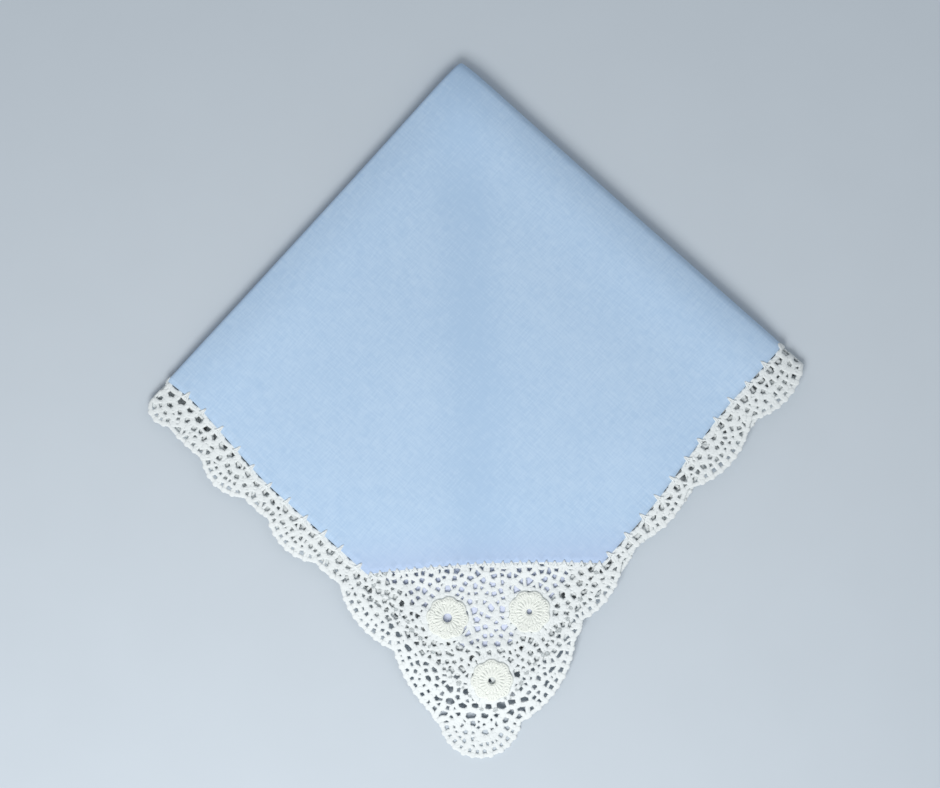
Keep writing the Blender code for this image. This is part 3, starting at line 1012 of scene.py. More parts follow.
def folded_up(piece: Piece, most: float = 2.0, lift: float = 0.0) -> None:
    """Folds a mesh that was worked flat with the sheet, and turns its faces to point out.

    Args:
        piece: The mesh object, in mm.
        most: Greatest height over the sheet's middle, for work that is pressed flat.
        lift: How much higher than worked it lies.
    """
    mesh = piece.data
    flat = np.empty(len(mesh.vertices) * 3, np.float32)
    mesh.vertices.foreach_get("co", flat)
    worked = pressed(flat.reshape(-1, 3).astype(float), most)
    worked[:, 2] += lift
    placed = FOLD.placed(worked)
    placed[:, 2] = np.maximum(placed[:, 2], FLOOR_GAP)
    placed *= MM
    mesh.vertices.foreach_set("co", placed.astype(np.float32).reshape(-1))
    mesh.flip_normals()
    mesh.update()


class Maker:
    """A geometry node tree that makes meshes, with its inputs named."""

    name = "maker"
    inputs: tuple = ()

    def __init__(self) -> None:
        """Builds the tree."""
        self.tree = bpy.data.node_groups.new(self.name, "GeometryNodeTree")
        face = self.tree.interface
        for name, kind in (("Geometry", "Geometry"), ("Finish", "Material"), *self.inputs):
            face.new_socket(name, in_out="INPUT", socket_type="NodeSocket" + kind)
        face.new_socket("Geometry", in_out="OUTPUT", socket_type="NodeSocketGeometry")
        self.graph = Graph(self.tree)
        self.given = self.graph.node("NodeGroupInput")
        made = self.made()
        real = self.graph.node("GeometryNodeRealizeInstances", {}, {"Geometry": made})
        smooth = self.graph.node("GeometryNodeSetShadeSmooth", {}, {"Geometry": real})
        sockets = {"Geometry": smooth, "Material": self.given.outputs["Finish"]}
        dressed = self.graph.node("GeometryNodeSetMaterial", {}, sockets)
        self.graph.node("NodeGroupOutput", {}, {"Geometry": dressed})

    def asked(self, name: str) -> Value:
        """One of the tree's named inputs."""
        return self.graph.out(self.given, name)

    def made(self) -> Node:
        """Builds the nodes that make the shape, and returns the last one."""
        raise NotImplementedError

    def _joined(self, *parts: Node) -> Node:
        """One geometry of several.

        Args:
            parts: The nodes that make them.

        Returns:
            The node that joins them.
        """
        joined = self.graph.node("GeometryNodeJoinGeometry")
        for part in parts:
            self.graph.feed(joined.inputs[0], part)
        return joined

    def attribute(self, name: str) -> Value:
        """A number stored on the points."""
        node = self.graph.node("GeometryNodeInputNamedAttribute", {"data_type": "FLOAT"}, {"Name": name})
        return self.graph.out(node)

    def apply(self, guide: Piece, name: str, finish: Finish, sizes: dict) -> Piece:
        """Runs the tree on a guide.

        Args:
            guide: The object whose mesh the tree reads. It is removed.
            name: Name of the piece that is made.
            finish: Its finish.
            sizes: Values of the tree's named inputs.

        Returns:
            The made piece, a plain mesh.
        """
        modifier = guide.modifiers.new(self.name, "NODES")
        modifier.node_group = self.tree
        values = {"Finish": finish.material(), **sizes}
        for item in self.tree.interface.items_tree:
            if item.in_out == "INPUT" and item.name in values:
                modifier[item.identifier] = values[item.name]
        guide.update_tag()
        graph = bpy.context.evaluated_depsgraph_get()
        mesh = bpy.data.meshes.new_from_object(guide.evaluated_get(graph))
        guide.modifiers.clear()
        old = guide.data
        bpy.data.objects.remove(guide)
        bpy.data.meshes.remove(old)
        mesh.name = name
        return in_scene(name, mesh)


class ThreadMaker(Maker):
    """Threads along the edges of a mesh, with a knot where they meet.

    The mesh's points hold "thread", half the thread's thickness, and "knot", the radius of a knot.
    """

    name = "crochet_thread"
    inputs = (
        ("Step", "Float"),
        ("Sides", "Int"),
        ("Swell", "Float"),
        ("Knot Detail", "Int"),
    )
    unevenness = {"Min": 0.93, "Max": 1.07, "Seed": SEED}
    end_sharpness = 4.0
    least_knot = 0.01

    def made(self) -> Node:
        """Threads and knots.

        Returns:
            The node that joins them.
        """
        graph = self.graph
        guide = self.given.outputs["Geometry"]
        curve = graph.node("GeometryNodeMeshToCurve", {}, {"Mesh": guide})
        bent = graph.node("GeometryNodeCurveSplineType", {"spline_type": "CATMULL_ROM"}, {"Curve": curve})
        sockets = {"Curve": bent, "Length": self.asked("Step")}
        even = graph.node("GeometryNodeResampleCurve", {"mode": "LENGTH"}, sockets)
        place = graph.node("GeometryNodeSplineParameter")
        sockets = {"Geometry": even, "Name": "along", "Value": graph.out(place, "Length")}
        settings = {"data_type": "FLOAT", "domain": "POINT"}
        marked = graph.node("GeometryNodeStoreNamedAttribute", settings, sockets)
        uneven = graph.node("FunctionNodeRandomValue", {"data_type": "FLOAT"})
        for socket in uneven.inputs:
            if socket.enabled and socket.name in self.unevenness:
                socket.default_value = self.unevenness[socket.name]
        near_end = (graph.out(place, "Factor") * 2 - 1) ** self.end_sharpness
        thick = self.attribute("thread") * (near_end * self.asked("Swell") + 1.0) * graph.out(uneven)
        sockets = {"Resolution": self.asked("Sides"), "Radius": 1.0}
        circle = graph.node("GeometryNodeCurvePrimitiveCircle", {}, sockets)
        position = graph.node("GeometryNodeInputPosition")
        settings = {"data_type": "FLOAT_VECTOR", "domain": "POINT"}
        sockets = {"Geometry": circle, "Name": "round", "Value": position}
        profile = graph.node("GeometryNodeStoreNamedAttribute", settings, sockets)
        sockets = {"Curve": marked, "Profile Curve": profile, "Scale": thick, "Fill Caps": True}
        tube = graph.node("GeometryNodeCurveToMesh", {}, sockets)
        return self._joined(tube, self._knots(guide))

    def _knots(self, guide: bpy.types.NodeSocket) -> Node:
        """Balls at the marked points, which are flattened with the rest later.

        Args:
            guide: The mesh that holds the points.

        Returns:
            The node that places them.
        """
        graph = self.graph
        sockets = {"Radius": 1.0, "Subdivisions": self.asked("Knot Detail")}
        ball = graph.node("GeometryNodeMeshIcoSphere", {}, sockets)
        marked = self.attribute("knot")
        scale = graph.node("ShaderNodeCombineXYZ", {}, {0: marked, 1: marked, 2: marked})
        settings = {"data_type": "FLOAT", "operation": "GREATER_THAN"}
        chosen = graph.node("FunctionNodeCompare", settings, {0: marked, 1: self.least_knot})
        points = graph.node("GeometryNodeMeshToPoints", {}, {"Mesh": guide, "Selection": chosen})
        sockets = {"Points": points, "Instance": ball, "Scale": scale}
        return graph.node("GeometryNodeInstanceOnPoints", {}, sockets)


class BeadMaker(Maker):
    """A cord of looped stitches along the edges of a mesh."""

    name = "looped_cord"
    inputs = (
        ("Pitch", "Float"),
        ("Length", "Float"),
        ("Width", "Float"),
        ("Tall", "Float"),
        ("Core", "Float"),
    )
    core_step = 0.8
    core_sides = 8
    bead_detail = 2
    slant = math.radians(24)

    def made(self) -> Node:
        """A core tube and a slanted bead for each stitch.

        Returns:
            The node that joins them.
        """
        graph = self.graph
        curve = graph.node("GeometryNodeMeshToCurve", {}, {"Mesh": self.given.outputs["Geometry"]})
        sockets = {"Curve": curve, "Length": self.core_step}
        even = graph.node("GeometryNodeResampleCurve", {"mode": "LENGTH"}, sockets)
        sockets = {"Resolution": self.core_sides, "Radius": 1.0}
        circle = graph.node("GeometryNodeCurvePrimitiveCircle", {}, sockets)
        sockets = {"Curve": even, "Profile Curve": circle, "Scale": self.asked("Core"), "Fill Caps": True}
        tube = graph.node("GeometryNodeCurveToMesh", {}, sockets)
        sockets = {"Curve": curve, "Length": self.asked("Pitch")}
        stitches = graph.node("GeometryNodeCurveToPoints", {"mode": "LENGTH"}, sockets)
        sockets = {"Vector": graph.out(stitches, "Tangent")}
        tangent = graph.node("FunctionNodeAlignRotationToVector", {"axis": "X"}, sockets)
        turned = graph.node("FunctionNodeRotateRotation", {"rotation_space": "LOCAL"}, {"Rotation": tangent})
        slant = graph.node("FunctionNodeEulerToRotation", {}, {0: (0.0, 0.0, self.slant)})
        graph.feed(turned.inputs[1], slant)
        sockets = {"Radius": 1.0, "Subdivisions": self.bead_detail}
        ball = graph.node("GeometryNodeMeshIcoSphere", {}, sockets)
        sockets = {0: self.asked("Length"), 1: self.asked("Width"), 2: self.asked("Tall")}
        scale = graph.node("ShaderNodeCombineXYZ", {}, sockets)
        points = graph.out(stitches, "Points")
        sockets = {"Points": points, "Instance": ball, "Rotation": turned, "Scale": scale}
        return self._joined(tube, graph.node("GeometryNodeInstanceOnPoints", {}, sockets))


class Kind(Enum):
    """What a seed of the net stands for."""

    HOLE = 0
    LINED = 1  # a mirror image across a line of thread
    BARE = 2  # a mirror image across an edge that other work covers


@dataclass
class Threads:
    """Threads that are worked flat: points with half the thread's thickness and the radius of a knot."""

    points: list = field(default_factory=list)
    edges: list = field(default_factory=list)
    thread: list = field(default_factory=list)
    knot: list = field(default_factory=list)

    def add(self, line: Sequence, thread: float, closed: bool = False, knot: float = 0.0) -> None:
        """Adds a line of thread.

        Args:
            line: Its points, each a, b and height.
            thread: Half its thickness.
            closed: Whether its last point joins its first.
            knot: Radius of the knot that sits on each point, 0 for none.
        """
        first, count = len(self.points), len(line)
        self.points += [tuple(map(float, point)) for point in line]
        self.edges += [(first + k, first + k + 1) for k in range(count - 1)]
        if closed:
            self.edges.append((first + count - 1, first))
        self.thread += [thread] * count
        self.knot += [knot] * count

    def guide(self, name: str) -> Piece:
        """A mesh of the threads' middle lines, with their sizes as attributes.

        Args:
            name: The guide's name.

        Returns:
            The mesh object.
        """
        made = linked(name, np.array(self.points), self.edges)
        for attribute, values in (("thread", self.thread), ("knot", self.knot)):
            layer = made.data.attributes.new(attribute, "FLOAT", "POINT")
            layer.data.foreach_set("value", np.array(values, np.float32))
        return made


@dataclass(frozen=True)
class CornerRows:
    """Where the holes of the corner's net are, in the folded plan."""

    # Straight rows across: hole width and length, and the turn of the length in degrees
    straight: tuple = (
        ("down", "first", "last", "count", "width", "length", "turn"),
        (165.6, -0.9, -0.9, 1, 2.6, 2.6, 0),
        (164.6, -31.0, -5.2, 6, 1.7, 1.9, 0),
        (164.4, 4.6, 30.2, 6, 1.7, 1.9, 0),
        (168.0, -31.6, -8.2, 7, 2.0, 2.2, 0),
        (168.4, 9.6, 13.4, 2, 1.9, 2.1, 0),
        (168.3, 17.4, 29.4, 4, 1.5, 1.9, 0),
        (169.4, -3.9, 4.2, 3, 1.5, 1.7, 0),
        (171.6, -30.4, -24.0, 3, 1.5, 2.3, 90),
        (171.8, 20.6, 27.0, 3, 1.3, 2.3, 75),
        (172.8, -1.0, -1.0, 1, 1.7, 1.7, 0),
        (174.9, -4.6, 4.6, 2, 2.3, 2.3, 0),
        (175.8, -26.6, -22.6, 2, 1.6, 1.8, 0),
        (177.3, -0.4, -0.4, 1, 1.6, 1.6, 0),
        (178.9, -22.9, -22.9, 1, 1.7, 2.0, 40),
        (181.0, -4.0, 4.9, 2, 2.2, 2.2, 0),
        (182.9, 0.5, 0.5, 1, 1.6, 1.6, 0),
        (184.6, -21.0, -17.4, 2, 1.6, 1.9, 40),
        (186.2, -9.4, -9.4, 1, 2.9, 3.1, 0),
        (185.6, 6.6, 12.6, 2, 1.8, 2.0, 0),
        (188.2, -16.6, -13.0, 2, 1.2, 2.6, 30),
        (188.4, -4.2, 3.4, 3, 1.2, 1.6, 0),
        (189.6, 8.8, 12.8, 2, 1.7, 1.9, 0),
        (193.4, -12.6, -9.2, 2, 1.3, 2.3, 60),
        (195.8, 8.8, 8.8, 1, 2.8, 3.0, 70),
    )
    # Arcs below the third rosette: the centre of each, then degrees from the way down
    arcs: tuple = (
        ("across", "down", "radius", "first", "last", "count", "width", "length"),
        (-1.3, 163.8, 41.8, -22.2, 15.9, 8, 1.9, 2.7),
        (-2.3, 158.9, 50.0, -15.4, 13.6, 7, 1.6, 2.6),
        (0.0, 197.4, 16.2, -52.0, 30.0, 6, 1.3, 1.7),
    )
    # Slanted slots in the bands beside the corner piece: each row from one place to another
    bands: tuple = (
        ("across", "down", "to_across", "to_down", "count", "width", "length", "turn"),
        (38.6, 162.6, 24.2, 199.0, 9, 1.1, 2.9, -52),
        (33.0, 166.6, 17.2, 199.4, 8, 1.1, 2.7, -52),
        (-37.8, 166.4, -17.2, 200.6, 8, 1.4, 2.6, 52),
        (-33.6, 169.0, -14.0, 199.4, 6, 1.2, 2.4, 52),
    )


@dataclass
class LaceNet:
    """The crochet net, drawn hole by hole, with a thread between each two neighbours."""

    pattern: Pattern = PATTERN
    corner: CornerRows = CornerRows()
    chain_at: float = 0.55
    ring_out: float = 0.1
    slot_depth: float = 0.85
    slot_half: float = 1.9
    rim_cord_at: float = 0.7
    closeness: float = 0.86
    clearance: float = 0.8
    unevenness: float = 0.26
    mirror_reach: float = 2.1
    round_below: float = 0.3
    short_below: float = 1.6
    short: float = 0.5
    bow: float = 0.10
    bends: Point = (0.3, 0.7)
    thinnest: float = 0.38
    thickest: float = 0.66
    double_from: float = 0.05
    knot_share: float = 0.8
    largest_knot: float = 1.1
    knot_lift: float = 0.07
    knot_beat: float = 2.4
    lifts: Point = (-0.05, 0.12)
    top_margins: Point = (2.0, 3.0)
    corner_thread: float = 0.48
    same_place: float = 1e-6
    flat_triangle: float = 0.4
    farthest: float = 1.2
    # Rows that follow the cloth's edge, by distance from it
    edge_rows: tuple = (
        ("distance", "pitch", "radius", "thread", "stagger"),
        (2.50, 3.9, 1.60, 0.52, 0.0),
        (5.55, 3.9, 1.30, 0.66, 0.5),
    )
    # Rows that follow the rim, by distance from it
    rim_rows: tuple = (
        ("distance", "pitch", "radius", "thread", "stagger"),
        (1.95, 3.2, 1.08, 0.52, 0.0),
        (4.1, 2.7, 1.05, 0.56, 0.5),
    )
    fill_radii: tuple = (1.35, 1.1)
    fill_thread: float = 0.68
    darts: int = 60000
    # How far holes stray, in mm and in degrees, and how much a corner hole's length varies
    row_jitter: float = 0.25
    arc_jitter: float = 0.3
    arc_turn: float = 14.0
    stretches: Point = (0.4, 1.3)
    along_jitter: float = 0.3
    aside_jitter: float = 0.15

    def __post_init__(self) -> None:
        """Draws the outlines that the holes keep to."""
        self.rim = np.array(self.pattern.rim())
        self.cloth = np.array(self.pattern.cloth_outline())
        self.random = np.random.default_rng(SEED)
        self.places: list[Array] = []
        self.sizes: list[tuple[float, float, int]] = []
        self.groups = 0

    def _accept(self, places: Array, radius: float, thread: float) -> None:
        """Adds one hole, if it has room.

        Args:
            places: Centres of the round seeds that it is made of.
            radius: Their radius, to the middle of the thread.
            thread: Half the thickness of that thread.
        """
        seeds = np.atleast_2d(places)
        if self.places:
            known = np.array(self.places)
            radii = np.array([size[0] for size in self.sizes])
            apart = np.hypot(*(seeds[:, None] - known[None]).transpose(2, 0, 1))
            if (apart < self.closeness * (radii[None] + radius)).any():
                return
        for seed in seeds:
            self.places.append(seed)
            self.sizes.append((radius, thread, self.groups))
        self.groups += 1

    def _room(self, places: Array) -> tuple[Array, Array, Array]:
        """Where places are in the lace.

        Args:
            places: The places.

        Returns:
            Distances to the cloth's edge and to the rim, and whether each is in the lace.
        """
        to_cloth, _ = nearest_on(places, self.cloth, True)
        to_rim, _ = nearest_on(places, self.rim, True)
        return to_cloth, to_rim, inside(places, [self.rim, self.cloth])

    def _offer(self, places: Array, radius: float, thread: float, turns: Array | None = None,
               stretch: float = 0.0) -> None:
        """Offers holes in turn.

        Args:
            places: Their centres.
            radius: From a hole's middle line to the middle of the thread round it.
            thread: Half the thickness of that thread.
            turns: The direction of each hole's length in radians, where they are long ones.
            stretch: How much longer than wide they are.
        """
        to_cloth, to_rim, within = self._room(places)
        free = radius * self.clearance
        clear = within & (to_cloth > self.chain_at + free) & (to_rim > self.rim_cord_at + free)
        ring = self.pattern.rosette_radius + self.ring_out
        for centre in self.pattern.rosette_places():
            clear &= np.hypot(*(places - centre).T) > ring + free
        for k in np.flatnonzero(clear):
            size = radius * self.random.uniform(1 - self.unevenness, 1 + self.unevenness / 3)
            if stretch > self.round_below and turns is not None:
                count = 2 if stretch < self.short_below else 3
                along = np.array((math.cos(turns[k]), math.sin(turns[k])))
                shifts = np.linspace(-0.5, 0.5, count)[:, None] * stretch * along
                self._accept(places[k] + shifts, size, thread)
            else:
                self._accept(places[k], size, thread)

    def _draw_corner(self) -> None:
        """Offers the holes of the corner, by its rows, arcs and bands."""
        for row in rows(self.corner.straight):
            for across in np.linspace(row["first"], row["last"], row["count"]):
                self._plan_hole(across, row["down"], row, row["turn"], self.row_jitter)
        for row in rows(self.corner.arcs):
            for angle in np.radians(np.linspace(row["first"], row["last"], row["count"])):
                across = row["across"] + row["radius"] * math.sin(angle)
                down = row["down"] + row["radius"] * math.cos(angle)
                turn = self.random.uniform(-self.arc_turn, self.arc_turn) - math.degrees(angle)
                self._plan_hole(across, down, row, turn, self.arc_jitter)
        for row in rows(self.corner.bands):
            for share in np.linspace(0, 1, row["count"]):
                across = row["across"] + (row["to_across"] - row["across"]) * share
                down = row["down"] + (row["to_down"] - row["down"]) * share
                self._plan_hole(across, down, row, row["turn"], self.row_jitter)

    def _plan_hole(self, across: float, down: float, row: dict, turn: float, jitter: float) -> None:
        """Offers one hole that is given in the folded plan.

        Args:
            across: Its place across.
            down: Its place down.
            row: The row that gives its width and length.
            turn: The direction of its length, in degrees from across to down.
            jitter: How far it strays at most, each way.
        """
        across, down = np.array((across, down)) + self.random.uniform(-jitter, jitter, 2)
        place = np.array([self.pattern.fold.from_plan(across, down)])
        # Across is the sheet's direction (1, -1), and down is (1, 1).
        angle = math.radians(turn - 45)
        radius = row["width"] / 2 + self.corner_thread
        stretch = (row["length"] - row["width"]) * self.random.uniform(*self.stretches)
        self._offer(place, radius, self.corner_thread, np.array([angle]), stretch)

    def _draw_rows(self) -> None:
        """Offers the rows along the cloth's edge and along the rim."""
        sides = Walk(np.array(self.pattern.uncut_sides(0)), False)
        rim = Walk(self.rim, True)
        for walk, table, way in ((sides, self.edge_rows, 1), (rim, self.rim_rows, -1)):
            for row in rows(table):
                count = int(walk.length / row["pitch"])
                distances = (np.arange(count) + 0.5 + row["stagger"]) * walk.length / count
                distances = distances + self.random.uniform(-self.along_jitter, self.along_jitter, count)
                places, _ = walk.at(np.clip(distances, 0, walk.length), way * row["distance"])
                places = places + self.random.uniform(-self.aside_jitter, self.aside_jitter, places.shape)
                self._offer(places, row["radius"], row["thread"])

    def _fill(self) -> None:
        """Fills the room that is left with small holes."""
        low, high = self.rim.min(axis=0), self.rim.max(axis=0)
        for radius in self.fill_radii:
            places = self.random.uniform(low, high, (self.darts, 2))
            places = places[inside(places, [self.rim, self.cloth])]
            self._offer(places, radius, self.fill_thread)

    def _mirrored(self, seeds: Array, radii: Array) -> tuple[Array, Array, Array]:
        """Images of the outer holes across the chain line, the rim cord and the rosettes' rims.

        Args:
            seeds: The holes' centres.
            radii: Their radii to the thread's middle.

        Returns:
            The images' centres, which hole each is an image of, and the kind of each.
        """
        lines = [
            (*nearest_on(seeds, self.cloth, True), self.chain_at, Kind.LINED),
            (*nearest_on(seeds, self.rim, True), self.rim_cord_at, Kind.BARE),
        ]
        ring = self.pattern.rosette_radius + self.ring_out
        for centre in self.pattern.rosette_places():
            lines.append((np.hypot(*(seeds - centre).T), np.array(centre), ring, Kind.LINED))
        found, source, kinds = [], [], []
        for distance, near, at, kind in lines:
            close = distance - at < self.mirror_reach * radii
            away = (seeds - near)[close] / distance[close][:, None]
            found.append(seeds[close] - 2 * away * (distance[close] - at)[:, None])
            source.append(np.flatnonzero(close))
            kinds.append(np.full(close.sum(), kind.value))
        return np.concatenate(found), np.concatenate(source), np.concatenate(kinds)

    def draw(self) -> dict[str, Threads]:
        """Draws the whole net.

        Returns:
            The threads of the corner piece, of the edging's top quarter, and of the rest of the edging.
        """
        self._draw_corner()
        self._draw_rows()
        self._fill()
        seeds = np.array(self.places)
        radii, thread, group = (np.array(values) for values in zip(*self.sizes))
        images, source, image_kinds = self._mirrored(seeds, radii)
        every = np.concatenate([seeds, images])
        radii = np.concatenate([radii, radii[source]])
        kind = np.concatenate([np.full(len(seeds), Kind.HOLE.value), image_kinds])
        opening = radii - np.concatenate([thread, thread[source]])
        group = np.concatenate([group, np.full(len(images), -1)])
        nodes, faces = self._meeting_places(every, radii**2)
        room = np.hypot(*(every[faces] - nodes[:, None]).transpose(2, 0, 1)) - opening[faces]
        knots = np.clip(room.mean(axis=1) * self.knot_share, self.thinnest, self.largest_knot)
        pieces = self._threads(nodes, faces, kind, group, every, opening, knots)
        self._open_slots(pieces["top"])
        return pieces

    def _open_slots(self, threads: Threads) -> None:
        """Draws the chain away from the cloth's sides between the spikes, so that slots show there.

        Args:
            threads: The threads, whose points are moved.
        """
        points = np.array(threads.points)
        for place, out in zip(*self.pattern.slots()):
            near = bell(np.hypot(*(points[:, :2] - place).T), self.slot_half)
            points[:, :2] += self.slot_depth * near[:, None] * out
        threads.points = [tuple(point) for point in points.tolist()]

    def _meeting_places(self, every: Array, weight: Array) -> tuple[Array, Array]:
        """Where the threads round three neighbouring holes meet.

        Args:
            every: Centres of all holes and images.
            weight: Their radii squared.

        Returns:
            The meeting places, and the triangle of holes round each.
        """
        seeds = [tuple(seed) for seed in every]
        _, _, faces, origin, _, _ = delaunay_2d_cdt(seeds, [], [], 0, self.same_place)
        source = np.array([near[0] if near else -1 for near in origin])
        faces = source[np.array(faces)]
        faces = faces[(faces >= 0).all(axis=1)]
        first, second, third = (every[faces[:, k]] for k in range(3))
        matrix = 2 * np.stack([second - first, third - first], axis=1)
        square = (every**2).sum(axis=1) - weight
        right = square[faces[:, 1:]] - square[faces[:, :1]]
        flat = abs(np.linalg.det(matrix)) < self.flat_triangle
        matrix[flat] = np.eye(2)
        nodes = np.linalg.solve(matrix, right[..., None])[..., 0]
        middle = (first + second + third) / 3
        reach = np.hypot(*(first - middle).T)
        far = flat | (np.hypot(*(nodes - middle).T) > self.farthest * reach)
        nodes[far] = middle[far]
        return nodes, faces

    def _threads(self, nodes: Array, faces: Array, kind: Array, group: Array,
                 every: Array, opening: Array, knots: Array) -> dict[str, Threads]:
        """Threads between the meeting places of neighbouring triangles.

        Args:
            nodes: The meeting places.
            faces: The triangle of holes round each.
            kind: What each hole stands for.
            group: Which long hole each is a part of, -1 for an image.
            every: Centres of all holes and images.
            opening: Radii of their openings, inside the thread.
            knots: Radius of the knot at each meeting place.

        Returns:
            The threads of each piece, by its name.
        """
        sides: dict[tuple[int, int], list[int]] = {}
        for face, corners in enumerate(faces.tolist()):
            for k in range(3):
                pair = tuple(sorted((corners[k], corners[(k + 1) % 3])))
                sides.setdefault(pair, []).append(face)
        wanted = []
        for (one, two), shared in sorted(sides.items()):
            if len(shared) != 2 or (group[one] == group[two] and group[one] >= 0):
                continue
            holes = int(kind[one] == Kind.HOLE.value) + int(kind[two] == Kind.HOLE.value)
            bare = Kind.BARE.value in (kind[one], kind[two])
            if holes == 0 or (holes == 1 and bare):
                continue
            apart = float(np.hypot(*(every[one] - every[two])))
            room = (apart - opening[one] - opening[two]) / 2
            wanted.append((shared[0], shared[1], max(self.thinnest, room)))
        merged = self._merged(nodes, wanted)
        pieces = {name: Threads() for name in ("corner", "top", "under")}
        slots: dict[tuple[str, int], int] = {}
        ends = np.array([(nodes[merged[i]], nodes[merged[j]]) for i, j, _ in wanted])
        middles = ends.mean(axis=1)
        in_insert = inside(middles, [self.pattern.insert_outline()])
        fold, (margin_a, margin_b) = self.pattern.fold, self.top_margins
        on_top = (middles[:, 0] > fold.crease_a - margin_a) & (middles[:, 1] > fold.crease_b - margin_b)
        drawn = set()
        for k, (i, j, thickness) in enumerate(wanted):
            i, j = merged[i], merged[j]
            if i == j or (min(i, j), max(i, j)) in drawn:
                continue
            drawn.add((min(i, j), max(i, j)))
            name = "corner" if in_insert[k] else "top" if on_top[k] else "under"
            self._lay(pieces[name], slots, name, (i, j), nodes, thickness, knots)
        return pieces

    def _merged(self, nodes: Array, wanted: list[tuple[int, int, float]]) -> list[int]:
        """Draws very short threads up to a point.

        Args:
            nodes: The meeting places, which are moved.
            wanted: The threads, each by its two places and half its thickness.

        Returns:
            For each meeting place, the one that stands for it.
        """
        stands = list(range(len(nodes)))

        def head(node: int) -> int:
            """The place that a place is drawn up to.

            Args:
                node: Number of the place.

            Returns:
                Number of the one that stands for it.
            """
            while stands[node] != node:
                node = stands[node]
            return node

        for i, j, _ in wanted:
            i, j = head(i), head(j)
            if i != j and np.hypot(*(nodes[i] - nodes[j])) < self.short:
                nodes[i] = (nodes[i] + nodes[j]) / 2
                stands[j] = i
        return [head(node) for node in range(len(nodes))]

    def _lay(self, piece: Threads, slots: dict, name: str, pair: tuple[int, int], nodes: Array,
             room: float, knots: Array) -> None:
        """Lays a slightly bowed thread between two places, or two where there is room for them.

        Args:
            piece: The threads that it is added to.
            slots: Which point of its piece each place already has.
            name: The piece's name.
            pair: The two meeting places.
            nodes: All meeting places.
            room: Half the width between the openings on either side.
            knots: Radius of the knot at each meeting place.
        """
        index = []
        thickness = min(room, self.thickest)
        for node in pair:
            key = (name, node)
            if key not in slots:
                slots[key] = len(piece.points)
                height = self.knot_lift * math.sin(node * self.knot_beat)
                piece.points.append((*map(float, nodes[node]), height))
                piece.thread.append(thickness)
                piece.knot.append(float(knots[node]))
            index.append(slots[key])
        start, end = nodes[pair[0]], nodes[pair[1]]
        along = end - start
        length = max(float(np.hypot(*along)), self.same_place)
        aside = np.array((-along[1], along[0])) / length
        bow = self.random.uniform(-self.bow, self.bow) * length
        spread = room - thickness
        for way in (-1, 1) if spread > self.double_from else (0,):
            height = self.random.uniform(*self.lifts)
            first = len(piece.points)
            for share in self.bends:
                middle = start + along * share + aside * (bow + way * spread)
                piece.points.append((*map(float, middle), height))
                piece.thread.append(thickness)
                piece.knot.append(0.0)
            piece.edges += [(index[0], first), (first, first + 1), (first + 1, index[1])]


